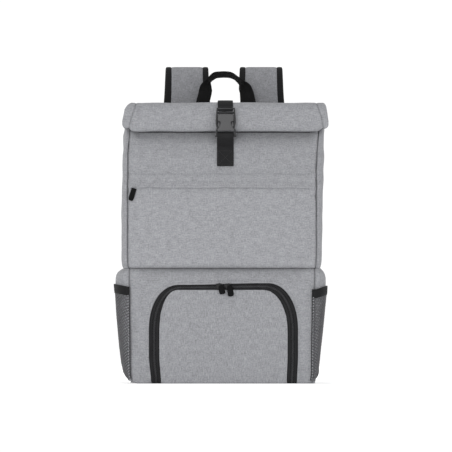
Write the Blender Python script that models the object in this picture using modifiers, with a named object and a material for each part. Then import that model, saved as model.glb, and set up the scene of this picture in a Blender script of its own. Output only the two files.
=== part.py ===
"""Roll-top backpack with a zipped lower compartment, mesh side pockets and padded straps.

Units are metres. +Z is up, +Y points to the back that is worn against, +X is to the right
seen from the front, and the origin is the middle of the base that it stands on.
"""
import math
from collections import namedtuple

import bmesh
import bpy
from mathutils import Matrix, Vector

# Cloth and clearances
CLOTH = 0.0016
MESH_CLOTH = 0.0010
SEAM_GAP = 0.0004
TOUCH = 0.0003
SEAM_LIP = 0.0020
SIDE_SQUARENESS = 2.6

# Lower compartment
LOWER_HEIGHT = 0.173
LOWER_SEAM = 0.1395
LOWER_BULGE = 0.0185
LOWER_FRONT = 0.080
LOWER_BOW = 0.0060

# Upper compartment
UPPER_HEIGHT = 0.2035
UPPER_SEAM = 0.1415
UPPER_BULGE = 0.0078
UPPER_FRONT = 0.0755
UPPER_BOW = 0.0045

# Back
BODY_BACK = 0.075
BACK_PAD = 0.009
BACK_PAD_HEIGHT = 0.384
BACK_PAD_CORNER = 0.018
BACK_PAD_EDGE = 0.0030

# Front pocket with its flap
POCKET_TOP = 0.2922
POCKET_ROOM = 0.0078
FLAP_TOP = 0.3155
FLAP_OVERLAP = 0.0030
PULL_WIDTH = 0.0078
PULL_LENGTH = 0.0180
PULL_THICKNESS = 0.0016
POCKET_PULL_X = -0.1305
POCKET_PULL_TILT = math.radians(14)

# Arched door of the lower compartment
DOOR_HALF = 0.1115
DOOR_HEIGHT = 0.1490
DOOR_CENTRE = 0.0022
DOOR_CORNER_WIDTH = 0.046
DOOR_CORNER_HEIGHT = 0.069
DOOR_CORNER_SQUARENESS = 2.15
ZIP_SIDE_WIDTH = 0.0150
ZIP_TOP_WIDTH = 0.0082
SLIDER_WIDTH = 0.0088
SLIDER_HEIGHT = 0.0090
SLIDER_DEPTH = 0.0046
SLIDER_SPACING = 0.0138
DOOR_PULL_WIDTH = 0.0080
DOOR_PULL_LENGTH = 0.0155
DOOR_PULL_TILT = math.radians(24)

# Mesh side pockets
NET_BOTTOM = 0.0045
NET_TOP = 0.1330
NET_LIFT = 0.0050
NET_ROOM = 0.0080
NET_REACH = math.radians(78)
BAND_HEIGHT = 0.0120
BAND_CLOTH = 0.0015

# Rolled top
ROLL_HEIGHT = 0.0450
ROLL_DEPTH = 0.0340
ROLL_HALF = 0.1550
ROLL_CLOTH = 0.0030
ROLL_PITCH = 0.0052
ROLL_TURNS = 1.55
ROLL_END_ROUND = 0.0235
ROLL_WIDEST = 0.36
ROLL_CENTRE = 0.0440
ROLL_SQUARENESS = 2.7
TOP_SHIFT = 0.0050

# Closure strap and side-release buckle
WEBBING = 0.0016
TOP_STRAP_WIDTH = 0.0230
ANCHOR_STRAP_WIDTH = 0.0250
ANCHOR_LENGTH = 0.0430
BUCKLE_DROP = 0.0082
BUCKLE_STANDOFF = 0.0036
BUCKLE_BAR = 0.0026
BUCKLE_SLOT = 0.0034
BUCKLE_PLATE = 0.0034
BUCKLE_SIDE = 0.0024
SOCKET_WIDTH = 0.0246
SOCKET_HEIGHT = 0.0232
SOCKET_DEPTH = 0.0090
SOCKET_WALL = 0.0018
SOCKET_LOOP_BAR = 0.0050
SOCKET_LOOP_SLOT = 0.0046
WINDOW_HEIGHT = 0.0100
WINDOW_DROP = 0.0078
ARM_WIDTH = 0.0036
ARM_LENGTH = 0.0180
BARB_HALF = 0.0150
FIT = 0.0004

# Grab handle
HANDLE_WIDTH = 0.0200
HANDLE_WEBBING = 0.0024
HANDLE_HALF = 0.0347
HANDLE_TOP = 0.4650
HANDLE_TWIST = math.radians(72)
HANDLE_ROUNDNESS = 2.3

# Shoulder straps
STRAP_WIDTH = 0.0640
STRAP_BINDING = 0.0080
STRAP_BINDING_THICKNESS = 0.0060
STRAP_PAD = 0.0110
STRAP_TOP = 0.4745
STRAP_BOTTOM = 0.1950
STRAP_STANDOFF = 0.0680
STRAP_SPACING = 0.0560
STRAP_SHIFT = 0.0030
TAIL_WIDTH = 0.0250
TAIL_HEIGHT = 0.0300
TAIL_SPREAD = 0.1180
TAIL_ANCHOR = 0.0300
ADJUSTER_WIDTH = 0.0320
ADJUSTER_LENGTH = 0.0260
ADJUSTER_SLOT = 0.0046
ADJUSTER_BAR = 0.0036
ADJUSTER_THICKNESS = 0.0034
ADJUSTER_DROP = 0.0260

# Places that follow from the sizes above
NECK_HEIGHT = LOWER_HEIGHT + UPPER_HEIGHT
ROLL_BASE = NECK_HEIGHT + 2 * TOUCH
ROLL_MIDDLE = ROLL_BASE + ROLL_HEIGHT / 2
ROLL_TOP = ROLL_BASE + ROLL_HEIGHT
PAD_FRONT = BODY_BACK + TOUCH
PAD_BACK = PAD_FRONT + BACK_PAD
PAD_HALF = max(LOWER_SEAM, UPPER_SEAM) + SEAM_LIP + BACK_PAD_EDGE
BUCKLE_TOP = ROLL_TOP - BUCKLE_DROP
BUCKLE_BACK = ROLL_CENTRE + ROLL_DEPTH / 2 + BUCKLE_STANDOFF

# Sections from the bottom to the top. The rise is a share of the volume's height, and the
# other columns are shares of its seam half width, side bulge, front depth, bow and back depth.
Section = namedtuple("Section", "rise seam bulge front bow back")
LOWER_SECTIONS = (
    Section(0.000, 0.955, 0.05, 0.950, 0.3, 1.00),
    Section(0.045, 0.975, 0.07, 0.978, 0.5, 1.00),
    Section(0.130, 0.986, 0.10, 0.992, 0.8, 1.00),
    Section(0.400, 0.994, 0.22, 1.000, 1.0, 1.00),
    Section(0.640, 1.000, 0.42, 1.000, 1.0, 1.00),
    Section(0.780, 1.000, 0.67, 1.000, 1.0, 1.00),
    Section(0.870, 1.000, 0.93, 0.998, 1.0, 1.00),
    Section(0.935, 1.000, 0.87, 0.990, 1.0, 1.00),
    Section(0.975, 1.000, 0.72, 0.970, 0.9, 1.00),
    Section(1.000, 0.998, 0.50, 0.925, 0.7, 1.00),
)
UPPER_SECTIONS = (
    Section(0.000, 0.993, 0.80, 0.965, 0.8, 1.00),
    Section(0.035, 0.998, 0.95, 0.990, 1.0, 1.00),
    Section(0.120, 1.000, 1.00, 1.000, 1.0, 1.00),
    Section(0.350, 1.000, 1.00, 1.000, 1.0, 1.00),
    Section(0.600, 1.000, 1.00, 0.975, 1.0, 1.00),
    Section(0.790, 1.000, 1.00, 0.890, 0.8, 1.00),
    Section(0.900, 1.000, 1.00, 0.790, 0.5, 1.00),
    Section(0.945, 1.000, 0.98, 0.720, 0.3, 0.99),
    Section(0.968, 1.000, 0.94, 0.650, 0.2, 0.90),
    Section(0.984, 1.000, 0.88, 0.600, 0.1, 0.30),
    Section(1.000, 1.000, 0.30, 0.560, 0.0, -0.46),
)
ROOF_FIRST_ROW = 7

# The room inside a net pocket, from its bottom to its top, as a share of the named room.
Room = namedtuple("Room", "rise share")
NET_ROOMS = (
    Room(0.00, 0.18),
    Room(0.10, 0.62),
    Room(0.35, 1.00),
    Room(0.70, 0.95),
    Room(1.00, 0.42),
)

# A shoulder strap's route from its upper seam over the top and down. The columns are shares
# of the standoff, of the height from the lower end to the top, of the spacing and the width.
Station = namedtuple("Station", "out height aside width")
STRAP_ROUTE = (
    Station(0.110, 0.620, 0.98, 1.12),
    Station(0.135, 0.760, 1.00, 1.12),
    Station(0.200, 0.890, 1.00, 1.06),
    Station(0.340, 0.970, 1.00, 1.00),
    Station(0.520, 1.000, 1.00, 0.98),
    Station(0.720, 0.965, 1.00, 1.00),
    Station(0.870, 0.860, 1.02, 1.03),
    Station(0.960, 0.680, 1.07, 1.03),
    Station(1.000, 0.460, 1.17, 0.98),
    Station(0.960, 0.230, 1.32, 0.90),
    Station(0.860, 0.000, 1.48, 0.82),
)

Volume = namedtuple("Volume", "rows base height seam bulge front bow back")
LOWER = Volume(LOWER_SECTIONS, 0.0, LOWER_HEIGHT - SEAM_GAP / 2, LOWER_SEAM, LOWER_BULGE,
               LOWER_FRONT, LOWER_BOW, BODY_BACK)
UPPER = Volume(UPPER_SECTIONS, LOWER_HEIGHT + SEAM_GAP / 2, UPPER_HEIGHT - SEAM_GAP / 2, UPPER_SEAM,
               UPPER_BULGE, UPPER_FRONT, UPPER_BOW, BODY_BACK)

Finish = namedtuple("Finish", "colour roughness metallic")
FINISHES = {
    "grey_fabric": Finish((0.36, 0.36, 0.38), 0.90, 0.0),
    "black_webbing": Finish((0.020, 0.020, 0.022), 0.75, 0.0),
    "black_binding": Finish((0.022, 0.022, 0.024), 0.80, 0.0),
    "grey_net": Finish((0.16, 0.16, 0.17), 0.80, 0.0),
    "black_zip": Finish((0.015, 0.015, 0.016), 0.60, 0.0),
    "black_plastic": Finish((0.040, 0.040, 0.043), 0.40, 0.0),
    "back_fabric": Finish((0.030, 0.030, 0.033), 0.90, 0.0),
}


def clear_scene():
    """Remove whatever the file holds before the model is made."""
    for item in list(bpy.data.objects):
        bpy.data.objects.remove(item, do_unlink=True)


def new_collection(name):
    """A collection of that name in the scene."""
    collection = bpy.data.collections.new(name)
    bpy.context.scene.collection.children.link(collection)
    return collection


def material_for(name, slot):
    """A material of its own for one sub-part, in the finish of its slot."""
    finish = FINISHES[slot]
    material = bpy.data.materials.new(name + "_" + slot)
    material.use_nodes = True
    shader = material.node_tree.nodes["Principled BSDF"]
    shader.inputs["Base Color"].default_value = (*finish.colour, 1.0)
    shader.inputs["Roughness"].default_value = finish.roughness
    shader.inputs["Metallic"].default_value = finish.metallic
    return material


def between(rows, column, share):
    """A smooth value of one column, share of the way from the first row to the last."""
    spot = share * (len(rows) - 1)
    first = max(0, min(int(spot), len(rows) - 2))
    part = spot - first
    near = [rows[min(max(first + step, 0), len(rows) - 1)] for step in (-1, 0, 1, 2)]
    before, start, end, after = (getattr(row, column) for row in near)
    slope_start = 0.0 if (start - before) * (end - start) <= 0 else (end - before) / 2
    slope_end = 0.0 if (end - start) * (after - end) <= 0 else (after - start) / 2
    limit = 2.5 * abs(end - start)
    slope_start = max(-limit, min(limit, slope_start))
    slope_end = max(-limit, min(limit, slope_end))
    square = part * part
    cube = square * part
    return (start * (2 * cube - 3 * square + 1) + slope_start * (cube - 2 * square + part)
            + end * (3 * square - 2 * cube) + slope_end * (cube - square))


def share_at(rows, column, value):
    """The share of the way up a table at which a rising column reaches a value."""
    low, high = 0.0, 1.0
    for _ in range(30):
        middle = (low + high) / 2
        if between(rows, column, middle) < value:
            low = middle
        else:
            high = middle
    return (low + high) / 2


def power(value, squareness):
    """One coordinate of a superellipse, from its cosine or sine."""
    return math.copysign(abs(value) ** (2.0 / squareness), value)


def height_share(volume, height):
    """The share of the way up a volume's table at a height above the floor."""
    return share_at(volume.rows, "rise", (height - volume.base) / volume.height)


def front_point(volume, across, share, out=0.0):
    """A point on a front wall, across from -1 to 1 between the seams, out metres before it."""
    seam = volume.seam * between(volume.rows, "seam", share) - SEAM_GAP
    bow = volume.bow * between(volume.rows, "bow", share) * (1 - across * across)
    depth = volume.front * between(volume.rows, "front", share)
    rise = between(volume.rows, "rise", share)
    return Vector((seam * across, -depth - bow - out, volume.base + volume.height * rise))


def roof_point(volume, across, share):
    """A point on the back side of a volume, across from -1 to 1 between its back seams."""
    seam = volume.seam * between(volume.rows, "seam", share) - SEAM_GAP
    depth = volume.back * between(volume.rows, "back", share)
    rise = between(volume.rows, "rise", share)
    return Vector((seam * across, depth, volume.base + volume.height * rise))


def side_point(volume, side, angle, share, room=0.0, skin=0.0):
    """A point on a side wall, by its angle from -90 at the front seam to 90 at the back seam.

    room pushes the side out, and skin lifts the whole surface off the wall.
    """
    front = -volume.front * between(volume.rows, "front", share)
    back = volume.back * between(volume.rows, "back", share)
    seam = volume.seam * between(volume.rows, "seam", share) + SEAM_LIP
    bulge = volume.bulge * between(volume.rows, "bulge", share) + room + skin
    half = (back - front) / 2 + skin
    x = seam + bulge * power(math.cos(angle), SIDE_SQUARENESS)
    y = (front + back) / 2 + half * power(math.sin(angle), SIDE_SQUARENESS)
    rise = between(volume.rows, "rise", share)
    return Vector((side * x, y, volume.base + volume.height * rise))


def link_mesh(name, mesh, slot, collection):
    """An object for a finished mesh, with its material, in the model's collection."""
    item = bpy.data.objects.new(name, mesh)
    if slot:
        mesh.materials.append(material_for(name, slot))
    collection.objects.link(item)
    return item


def sheet(name, place, across, along, thickness, slot, collection, flip=False, offset=-1.0):
    """A cloth wall: a grid laid on place(u, v) and thickened inwards by Solidify."""
    size = 1.0
    shape = bmesh.new()
    bmesh.ops.create_grid(shape, x_segments=across, y_segments=along, size=size)
    for vert in shape.verts:
        u = (vert.co.x / size + 1) / 2
        v = (vert.co.y / size + 1) / 2
        vert.co = place(u, v)
    if flip:
        bmesh.ops.reverse_faces(shape, faces=shape.faces)
    mesh = bpy.data.meshes.new(name)
    shape.to_mesh(mesh)
    shape.free()
    mesh.shade_smooth()
    item = link_mesh(name, mesh, slot, collection)
    solidify = item.modifiers.new("wall", "SOLIDIFY")
    solidify.thickness = thickness
    solidify.offset = offset
    solidify.use_even_offset = True
    return item


def ribbon(name, place, along, width, thickness, slot, collection, across=2):
    """A strap: a strip on place(s, metres across), s from 0 to 1, thickened both ways."""
    def point(u, v):
        return place(v, (u - 0.5) * (width(v) if callable(width) else width))
    return sheet(name, point, across, along, thickness, slot, collection, offset=0.0)


def block(name, size, centre, slot, collection, turn=None, bevel=0.0):
    """A box of a size about a centre, turned by a matrix, with its edges rounded."""
    shape = bmesh.new()
    bmesh.ops.create_cube(shape, size=1.0)
    bmesh.ops.scale(shape, vec=Vector(size), verts=shape.verts)
    mesh = bpy.data.meshes.new(name)
    shape.to_mesh(mesh)
    shape.free()
    item = link_mesh(name, mesh, slot, collection)
    item.matrix_world = Matrix.Translation(centre) @ (turn.to_4x4() if turn else Matrix())
    if bevel:
        rounding = item.modifiers.new("edges", "BEVEL")
        rounding.width = bevel
        rounding.segments = 2
    return item


def cutter(item):
    """Mark an object as a cutter, which is not part of the model."""
    item.hide_render = True
    item.display_type = "WIRE"
    return item


def cut(item, tool, operation="DIFFERENCE"):
    """Cut an object with a closed tool, or keep what both fill."""
    step = item.modifiers.new(operation.lower(), "BOOLEAN")
    step.object = tool
    step.operation = operation
    step.solver = "EXACT"


def outline_plate(name, loops, thickness, slot, collection, matrix):
    """A flat plate: a closed outline, and any holes in it, filled and extruded both ways."""
    curve = bpy.data.curves.new(name, "CURVE")
    curve.dimensions = "2D"
    curve.fill_mode = "BOTH"
    curve.extrude = thickness / 2
    for points in loops:
        line = curve.splines.new("POLY")
        line.points.add(len(points) - 1)
        for spot, (x, y) in zip(line.points, points):
            spot.co = (x, y, 0.0, 1.0)
        line.use_cyclic_u = True
    guide = bpy.data.objects.new(name + "_outline", curve)
    bpy.context.scene.collection.objects.link(guide)
    bpy.context.view_layer.update()
    graph = bpy.context.evaluated_depsgraph_get()
    mesh = bpy.data.meshes.new_from_object(guide.evaluated_get(graph))
    mesh.name = name
    shape = bmesh.new()
    shape.from_mesh(mesh)
    bmesh.ops.remove_doubles(shape, verts=shape.verts, dist=0.00001)
    bmesh.ops.recalc_face_normals(shape, faces=shape.faces)
    shape.to_mesh(mesh)
    shape.free()
    bpy.data.objects.remove(guide, do_unlink=True)
    bpy.data.curves.remove(curve)
    mesh.materials.clear()
    item = link_mesh(name, mesh, slot, collection)
    item.matrix_world = matrix
    return item


def side_name(side):
    """The word for a side, left being at -X as seen from the front."""
    return "right" if side > 0 else "left"


def upper_panels(parts):
    """The walls of the roll-top compartment and the roof that runs up to its neck."""
    def front(u, v):
        return front_point(UPPER, 2 * u - 1, v)
    sheet("upper_front_panel", front, 8, 16, CLOTH, "grey_fabric", parts)

    roof_start = ROOF_FIRST_ROW / (len(UPPER_SECTIONS) - 1)

    def roof(u, v):
        return roof_point(UPPER, 2 * u - 1, roof_start + (1 - roof_start) * v)
    sheet("top_panel", roof, 8, 9, CLOTH, "grey_fabric", parts, flip=True)

    for side in (-1, 1):
        gusset("upper_gusset_" + side_name(side), UPPER, side, 8, 16, parts)


def gusset(name, volume, side, around, along, parts):
    """A side wall from its front seam to its back seam, with a flat lip at each seam."""
    steps = around + 2

    def place(u, v):
        step = round(u * steps)
        angle = math.pi * (min(max(step - 1, 0), around) / around - 0.5)
        point = side_point(volume, side, angle, v)
        if step in (0, steps):
            point.x -= side * SEAM_LIP
        return point
    return sheet(name, place, steps, along, CLOTH, "grey_fabric", parts, flip=side < 0)


def lower_panels(parts, tools):
    """The walls of the lower compartment, its arched door and the zip round the door."""
    def front(u, v):
        return front_point(LOWER, 2 * u - 1, v)

    outer = arch_prism("door_cut", 0.0, -SEAM_GAP / 2, tools)
    band = arch_prism("zip_outer_cut", 0.0, SEAM_GAP / 2, tools)
    inner = arch_prism("zip_inner_cut", 1.0, -SEAM_GAP / 2, tools)
    leaf = arch_prism("door_leaf_cut", 1.0, SEAM_GAP / 2, tools)

    panel = sheet("lower_front_panel", front, 12, 15, CLOTH, "grey_fabric", parts)
    cut(panel, outer)
    zip_band = sheet("door_zip", front, 12, 15, CLOTH, "black_zip", parts)
    cut(zip_band, band, "INTERSECT")
    cut(zip_band, inner)
    door = sheet("compartment_door", front, 12, 15, CLOTH, "grey_fabric", parts)
    cut(door, leaf, "INTERSECT")

    for side in (-1, 1):
        gusset("lower_gusset_" + side_name(side), LOWER, side, 8, 14, parts)
    floor_plate("base_panel", LOWER, 0.0, 0.0, CLOTH + 2 * TOUCH, parts)
    floor_plate("compartment_divider", LOWER, 1.0, LOWER_HEIGHT - CLOTH / 2, 2 * CLOTH, parts)


def arch_prism(name, zip_share, inset, tools):
    """A block with the door's arched outline, inset metres, past both faces of the front.

    zip_share is 0 on the zip band's outer edge and 1 on its inner edge.
    """
    half = DOOR_HALF - ZIP_SIDE_WIDTH * zip_share - inset
    top = DOOR_HEIGHT - ZIP_TOP_WIDTH * zip_share - inset
    wide = DOOR_CORNER_WIDTH - ZIP_SIDE_WIDTH * zip_share * 0.5
    high = DOOR_CORNER_HEIGHT - ZIP_TOP_WIDTH * zip_share * 0.5
    steps = 9
    corner = []
    for step in range(steps + 1):
        angle = math.pi / 2 * step / steps
        corner.append((half - wide + wide * power(math.cos(angle), DOOR_CORNER_SQUARENESS),
                       top - high + high * power(math.sin(angle), DOOR_CORNER_SQUARENESS)))
    below = -0.01
    points = [(half, below)] + corner
    points += [(-x, z) for x, z in reversed(points)]
    shape = bmesh.new()
    near = -LOWER_FRONT - LOWER_BOW - 0.01
    deep = LOWER_FRONT * 0.5
    rim = [shape.verts.new((DOOR_CENTRE + x, near, z)) for x, z in points]
    face = shape.faces.new(rim)
    pushed = bmesh.ops.extrude_face_region(shape, geom=[face])
    moved = [part for part in pushed["geom"] if isinstance(part, bmesh.types.BMVert)]
    bmesh.ops.translate(shape, vec=Vector((0.0, deep, 0.0)), verts=moved)
    bmesh.ops.recalc_face_normals(shape, faces=shape.faces)
    mesh = bpy.data.meshes.new(name)
    shape.to_mesh(mesh)
    shape.free()
    return cutter(link_mesh(name, mesh, None, tools))


def floor_plate(name, volume, share, height, inset, parts):
    """A flat panel that fills a volume's outline at a share of its table, inside its walls."""
    seam = volume.seam * between(volume.rows, "seam", share)
    bulge = volume.bulge * between(volume.rows, "bulge", share)
    front = -volume.front * between(volume.rows, "front", share) + inset
    back = BODY_BACK - inset
    half = (back - front) / 2
    steps = 10
    points = []
    for side in (1, -1):
        for step in range(steps + 1):
            angle = side * math.pi * (step / steps - 0.5)
            x = seam - inset + bulge * power(max(math.cos(angle), 0.0), SIDE_SQUARENESS)
            y = (front + back) / 2 + half * power(math.sin(angle), SIDE_SQUARENESS)
            points.append((side * x, y))
    matrix = Matrix.Translation((0.0, 0.0, height + CLOTH / 2))
    return outline_plate(name, [points], CLOTH, "grey_fabric", parts, matrix)


def back_panel(parts):
    """The padded panel that closes the back from the floor to above the roof."""
    steps = 5
    points = []
    for x_sign, z_sign in ((1, 1), (-1, 1), (-1, -1), (1, -1)):
        x = x_sign * (PAD_HALF - BACK_PAD_CORNER)
        z = BACK_PAD_HEIGHT - BACK_PAD_CORNER if z_sign > 0 else BACK_PAD_CORNER
        start = math.atan2(z_sign, x_sign) - math.pi / 4
        for step in range(steps + 1):
            angle = start + math.pi / 2 * step / steps
            points.append((x + BACK_PAD_CORNER * math.cos(angle), z + BACK_PAD_CORNER * math.sin(angle)))
    stand = Matrix.Translation((0.0, PAD_FRONT + BACK_PAD / 2, 0.0))
    matrix = stand @ Matrix.Rotation(math.pi / 2, 4, "X")
    panel = outline_plate("back_panel", [points], BACK_PAD, "back_fabric", parts, matrix)
    rounding = panel.modifiers.new("edges", "BEVEL")
    rounding.width = BACK_PAD_EDGE
    rounding.segments = 2
    return panel


def front_pocket(parts):
    """The flat pocket on the upper front, the flap over its zip, and the zip's pull."""
    low = height_share(UPPER, UPPER.base)
    top = height_share(UPPER, POCKET_TOP + FLAP_OVERLAP)
    skin = CLOTH + TOUCH

    def pocket(u, v):
        across = 2 * u - 1
        room = POCKET_ROOM * (1 - across ** 4) * math.sin(math.pi * min(1.0, v * 1.02)) ** 0.7
        return front_point(UPPER, across, low + (top - low) * v, skin + room)
    sheet("front_pocket_panel", pocket, 10, 12, CLOTH, "grey_fabric", parts)

    edge = height_share(UPPER, POCKET_TOP)
    seam = height_share(UPPER, FLAP_TOP)

    def flap(u, v):
        lift = skin * (2 - v) + TOUCH * (1 - v)
        room = POCKET_ROOM * (1 - (2 * u - 1) ** 4) * math.sin(math.pi * 0.96) ** 0.7 * (1 - v)
        return front_point(UPPER, 2 * u - 1, edge + (seam - edge) * v, lift + room)
    sheet("pocket_flap", flap, 10, 4, CLOTH, "grey_fabric", parts)

    reach = PULL_LENGTH / 2 * math.cos(POCKET_PULL_TILT) + PULL_WIDTH / 2 * math.sin(POCKET_PULL_TILT)
    share = height_share(UPPER, POCKET_TOP - reach)
    across = POCKET_PULL_X / UPPER_SEAM
    depth = pocket((across + 1) / 2, (share - low) / (top - low)).y - PULL_THICKNESS - 2 * TOUCH
    centre = (POCKET_PULL_X, depth, POCKET_TOP - reach - TOUCH)
    turn = Matrix.Rotation(POCKET_PULL_TILT, 3, "Y")
    block("pocket_pull", (PULL_WIDTH, PULL_THICKNESS, PULL_LENGTH), centre, "black_zip", parts,
          turn=turn, bevel=PULL_THICKNESS * 0.3)


def door_hardware(parts):
    """Two sliders at the top of the arch, each with its pull hanging aslant."""
    height = DOOR_HEIGHT - ZIP_TOP_WIDTH / 2
    share = height_share(LOWER, height)
    for side in (-1, 1):
        x = DOOR_CENTRE + side * SLIDER_SPACING / 2
        face = front_point(LOWER, x / LOWER_SEAM, share).y
        depth = face - TOUCH - SLIDER_DEPTH / 2
        block("door_slider_" + side_name(side), (SLIDER_WIDTH, SLIDER_DEPTH, SLIDER_HEIGHT),
              (x, depth, height), "black_zip", parts, bevel=SLIDER_DEPTH * 0.25)
        turn = Matrix.Rotation(-DOOR_PULL_TILT, 3, "Y")
        hang = turn @ Vector((0.0, 0.0, -DOOR_PULL_LENGTH / 2 + PULL_THICKNESS))
        centre = Vector((x, depth - SLIDER_DEPTH / 2 - TOUCH - PULL_THICKNESS / 2, height)) + hang
        block("door_pull_" + side_name(side), (DOOR_PULL_WIDTH, PULL_THICKNESS, DOOR_PULL_LENGTH),
              centre, "black_zip", parts, turn=turn, bevel=PULL_THICKNESS * 0.3)


def net_point(side, angle, rise, skin):
    """A point on a net pocket, rise from 0 at its bottom to 1 at its top edge."""
    lift = NET_LIFT * power(math.cos(angle), SIDE_SQUARENESS)
    height = NET_BOTTOM + (NET_TOP + lift - NET_BOTTOM) * rise
    spot = share_at(NET_ROOMS, "rise", min(rise, 1.0))
    room = NET_ROOM * between(NET_ROOMS, "share", spot)
    return side_point(LOWER, side, angle, height_share(LOWER, height), room, skin)


def net_pockets(parts):
    """A net pocket on each side with the elastic band along its mouth."""
    skin = MESH_CLOTH + 2 * TOUCH
    for side in (-1, 1):
        def net(u, v, side=side):
            return net_point(side, NET_REACH * (2 * u - 1), v, skin)
        sheet("mesh_pocket_" + side_name(side), net, 10, 10, MESH_CLOTH, "grey_net", parts,
              flip=side < 0)

        def band(u, v, side=side):
            angle = NET_REACH * (2 * u - 1)
            point = net_point(side, angle, 1.0, skin + BAND_CLOTH - MESH_CLOTH)
            reach = NET_TOP - NET_BOTTOM
            over = net_point(side, angle, 1.0 + BAND_HEIGHT / reach, skin + BAND_CLOTH - MESH_CLOTH)
            mixed = point.lerp(over, v)
            mixed.z = point.z + 2 * TOUCH + BAND_HEIGHT * v
            return mixed
        sheet("pocket_band_" + side_name(side), band, 10, 2, BAND_CLOTH, "black_binding", parts,
              flip=side < 0)


def roll_point(turns, shrink=0.0):
    """A point of the roll's section by turns from its middle bottom, back side first."""
    angle = 2 * math.pi * turns - math.pi / 2
    half_depth = ROLL_DEPTH / 2 - shrink
    half_height = ROLL_HEIGHT / 2 - shrink
    y = -ROLL_CENTRE + half_depth * power(math.cos(angle), ROLL_SQUARENESS)
    z = ROLL_MIDDLE + half_height * power(math.sin(angle), ROLL_SQUARENESS)
    return Vector((0.0, y, z))


def rolled_top(parts):
    """The neck of the bag, pressed flat and rolled forwards, open at its two ends."""
    start = 0.03

    def place(u, v):
        turns = start + (ROLL_TURNS - start) * v
        point = roll_point(turns, ROLL_PITCH * min(1.0, max(0.0, (turns - 0.72) / 0.26)))
        height = (point.z - ROLL_BASE) / ROLL_HEIGHT
        half = ROLL_HALF - ROLL_END_ROUND * abs(height - ROLL_WIDEST) ** 2
        point.x = TOP_SHIFT + half * (2 * u - 1)
        return point
    sheet("roll_top", place, 6, 30, ROLL_CLOTH, "grey_fabric", parts, flip=True)


def closure(parts, tools):
    """The strap over the roll, its side-release buckle, and the strap sewn to the front."""
    lift = WEBBING / 2 + 2 * TOUCH
    tongue_front = -BUCKLE_BACK - BUCKLE_PLATE
    slot_height = BUCKLE_TOP - BUCKLE_BAR - BUCKLE_SLOT / 2
    route = [Vector((0.0, PAD_BACK - 2 * CLOTH, BACK_PAD_HEIGHT + lift)),
             Vector((0.0, PAD_FRONT, BACK_PAD_HEIGHT + lift + TOUCH))]
    for share in (0.36, 0.42, 0.47, 0.52, 0.57, 0.62, 0.66):
        point = roll_point(share)
        outward = Vector((0.0, point.y + ROLL_CENTRE, point.z - ROLL_MIDDLE)).normalized()
        route.append(point + outward * (lift + TOUCH * 2))
    route.append(Vector((0.0, -BUCKLE_BACK + WEBBING / 2 + TOUCH, BUCKLE_TOP)))
    route.append(Vector((0.0, -BUCKLE_BACK + WEBBING / 2 + TOUCH, slot_height)))
    route.append(Vector((0.0, tongue_front, slot_height)))
    flat_strap("top_strap", route, TOP_STRAP_WIDTH, parts)

    buckle_tongue(parts)
    loop_top = buckle_socket(parts, tools)

    bar_low = loop_top - SOCKET_LOOP_SLOT - SOCKET_LOOP_BAR
    bar_front = -BUCKLE_BACK - BUCKLE_PLATE
    clear = WEBBING / 2 + TOUCH * 2
    low = bar_low - ANCHOR_LENGTH
    route = [Vector((0.0, -BUCKLE_BACK - BUCKLE_PLATE * 0.2, loop_top - SOCKET_LOOP_SLOT * 0.5)),
             Vector((0.0, bar_front - clear, loop_top - SOCKET_LOOP_SLOT * 0.9)),
             Vector((0.0, bar_front - clear, bar_low + SOCKET_LOOP_BAR * 0.4)),
             Vector((0.0, bar_front - clear * 0.6, bar_low - 2 * clear))]
    for share in (0.25, 0.4, 0.6, 0.8, 1.0):
        height = bar_low - ANCHOR_LENGTH * share
        point = front_point(UPPER, TOP_SHIFT / UPPER_SEAM, height_share(UPPER, height), clear)
        route.append(Vector((0.0, point.y, max(height, low))))
    flat_strap("anchor_strap", route, ANCHOR_STRAP_WIDTH, parts)


def flat_strap(name, route, width, parts):
    """A strap of even width that lies along a route in the middle plane."""
    def place(v, across):
        point = route[round(v * (len(route) - 1))]
        return Vector((TOP_SHIFT + across, point.y, point.z))
    return ribbon(name, place, len(route) - 1, width, WEBBING, "black_webbing", parts, across=2)


def buckle_tongue(parts):
    """The upper half of the buckle: a slotted head and two barbed arms."""
    head = TOP_STRAP_WIDTH / 2 + FIT + BUCKLE_SIDE
    neck = BUCKLE_BAR * 2 + BUCKLE_SLOT + FIT
    arm_outer = SOCKET_WIDTH / 2 - SOCKET_WALL - FIT
    arm_inner = arm_outer - ARM_WIDTH
    mouth = neck + FIT
    barb_top = mouth + WINDOW_DROP + FIT
    barb_low = mouth + WINDOW_DROP + WINDOW_HEIGHT - FIT
    tip = mouth + ARM_LENGTH
    half = [(head, 0.0), (head, -neck), (arm_outer, -neck - FIT * 0.3), (arm_outer, -barb_top),
            (BARB_HALF, -barb_top - FIT), (BARB_HALF - FIT, -barb_top - WINDOW_HEIGHT * 0.3),
            (arm_outer, -barb_low), (arm_outer - FIT, -tip), (arm_inner, -tip),
            (arm_inner, -neck - BUCKLE_BAR * 0.5)]
    points = half + [(-x, y) for x, y in reversed(half)]
    slot_half = TOP_STRAP_WIDTH / 2 + FIT
    slot_top = -BUCKLE_BAR
    slot_low = slot_top - BUCKLE_SLOT
    slot = [(-slot_half, slot_top), (slot_half, slot_top), (slot_half, slot_low), (-slot_half, slot_low)]
    stand = Matrix.Translation((TOP_SHIFT, -BUCKLE_BACK - BUCKLE_PLATE / 2, BUCKLE_TOP))
    matrix = stand @ Matrix.Rotation(math.pi / 2, 4, "X")
    return outline_plate("buckle_tongue", [points, slot], BUCKLE_PLATE, "black_plastic", parts, matrix)


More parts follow.
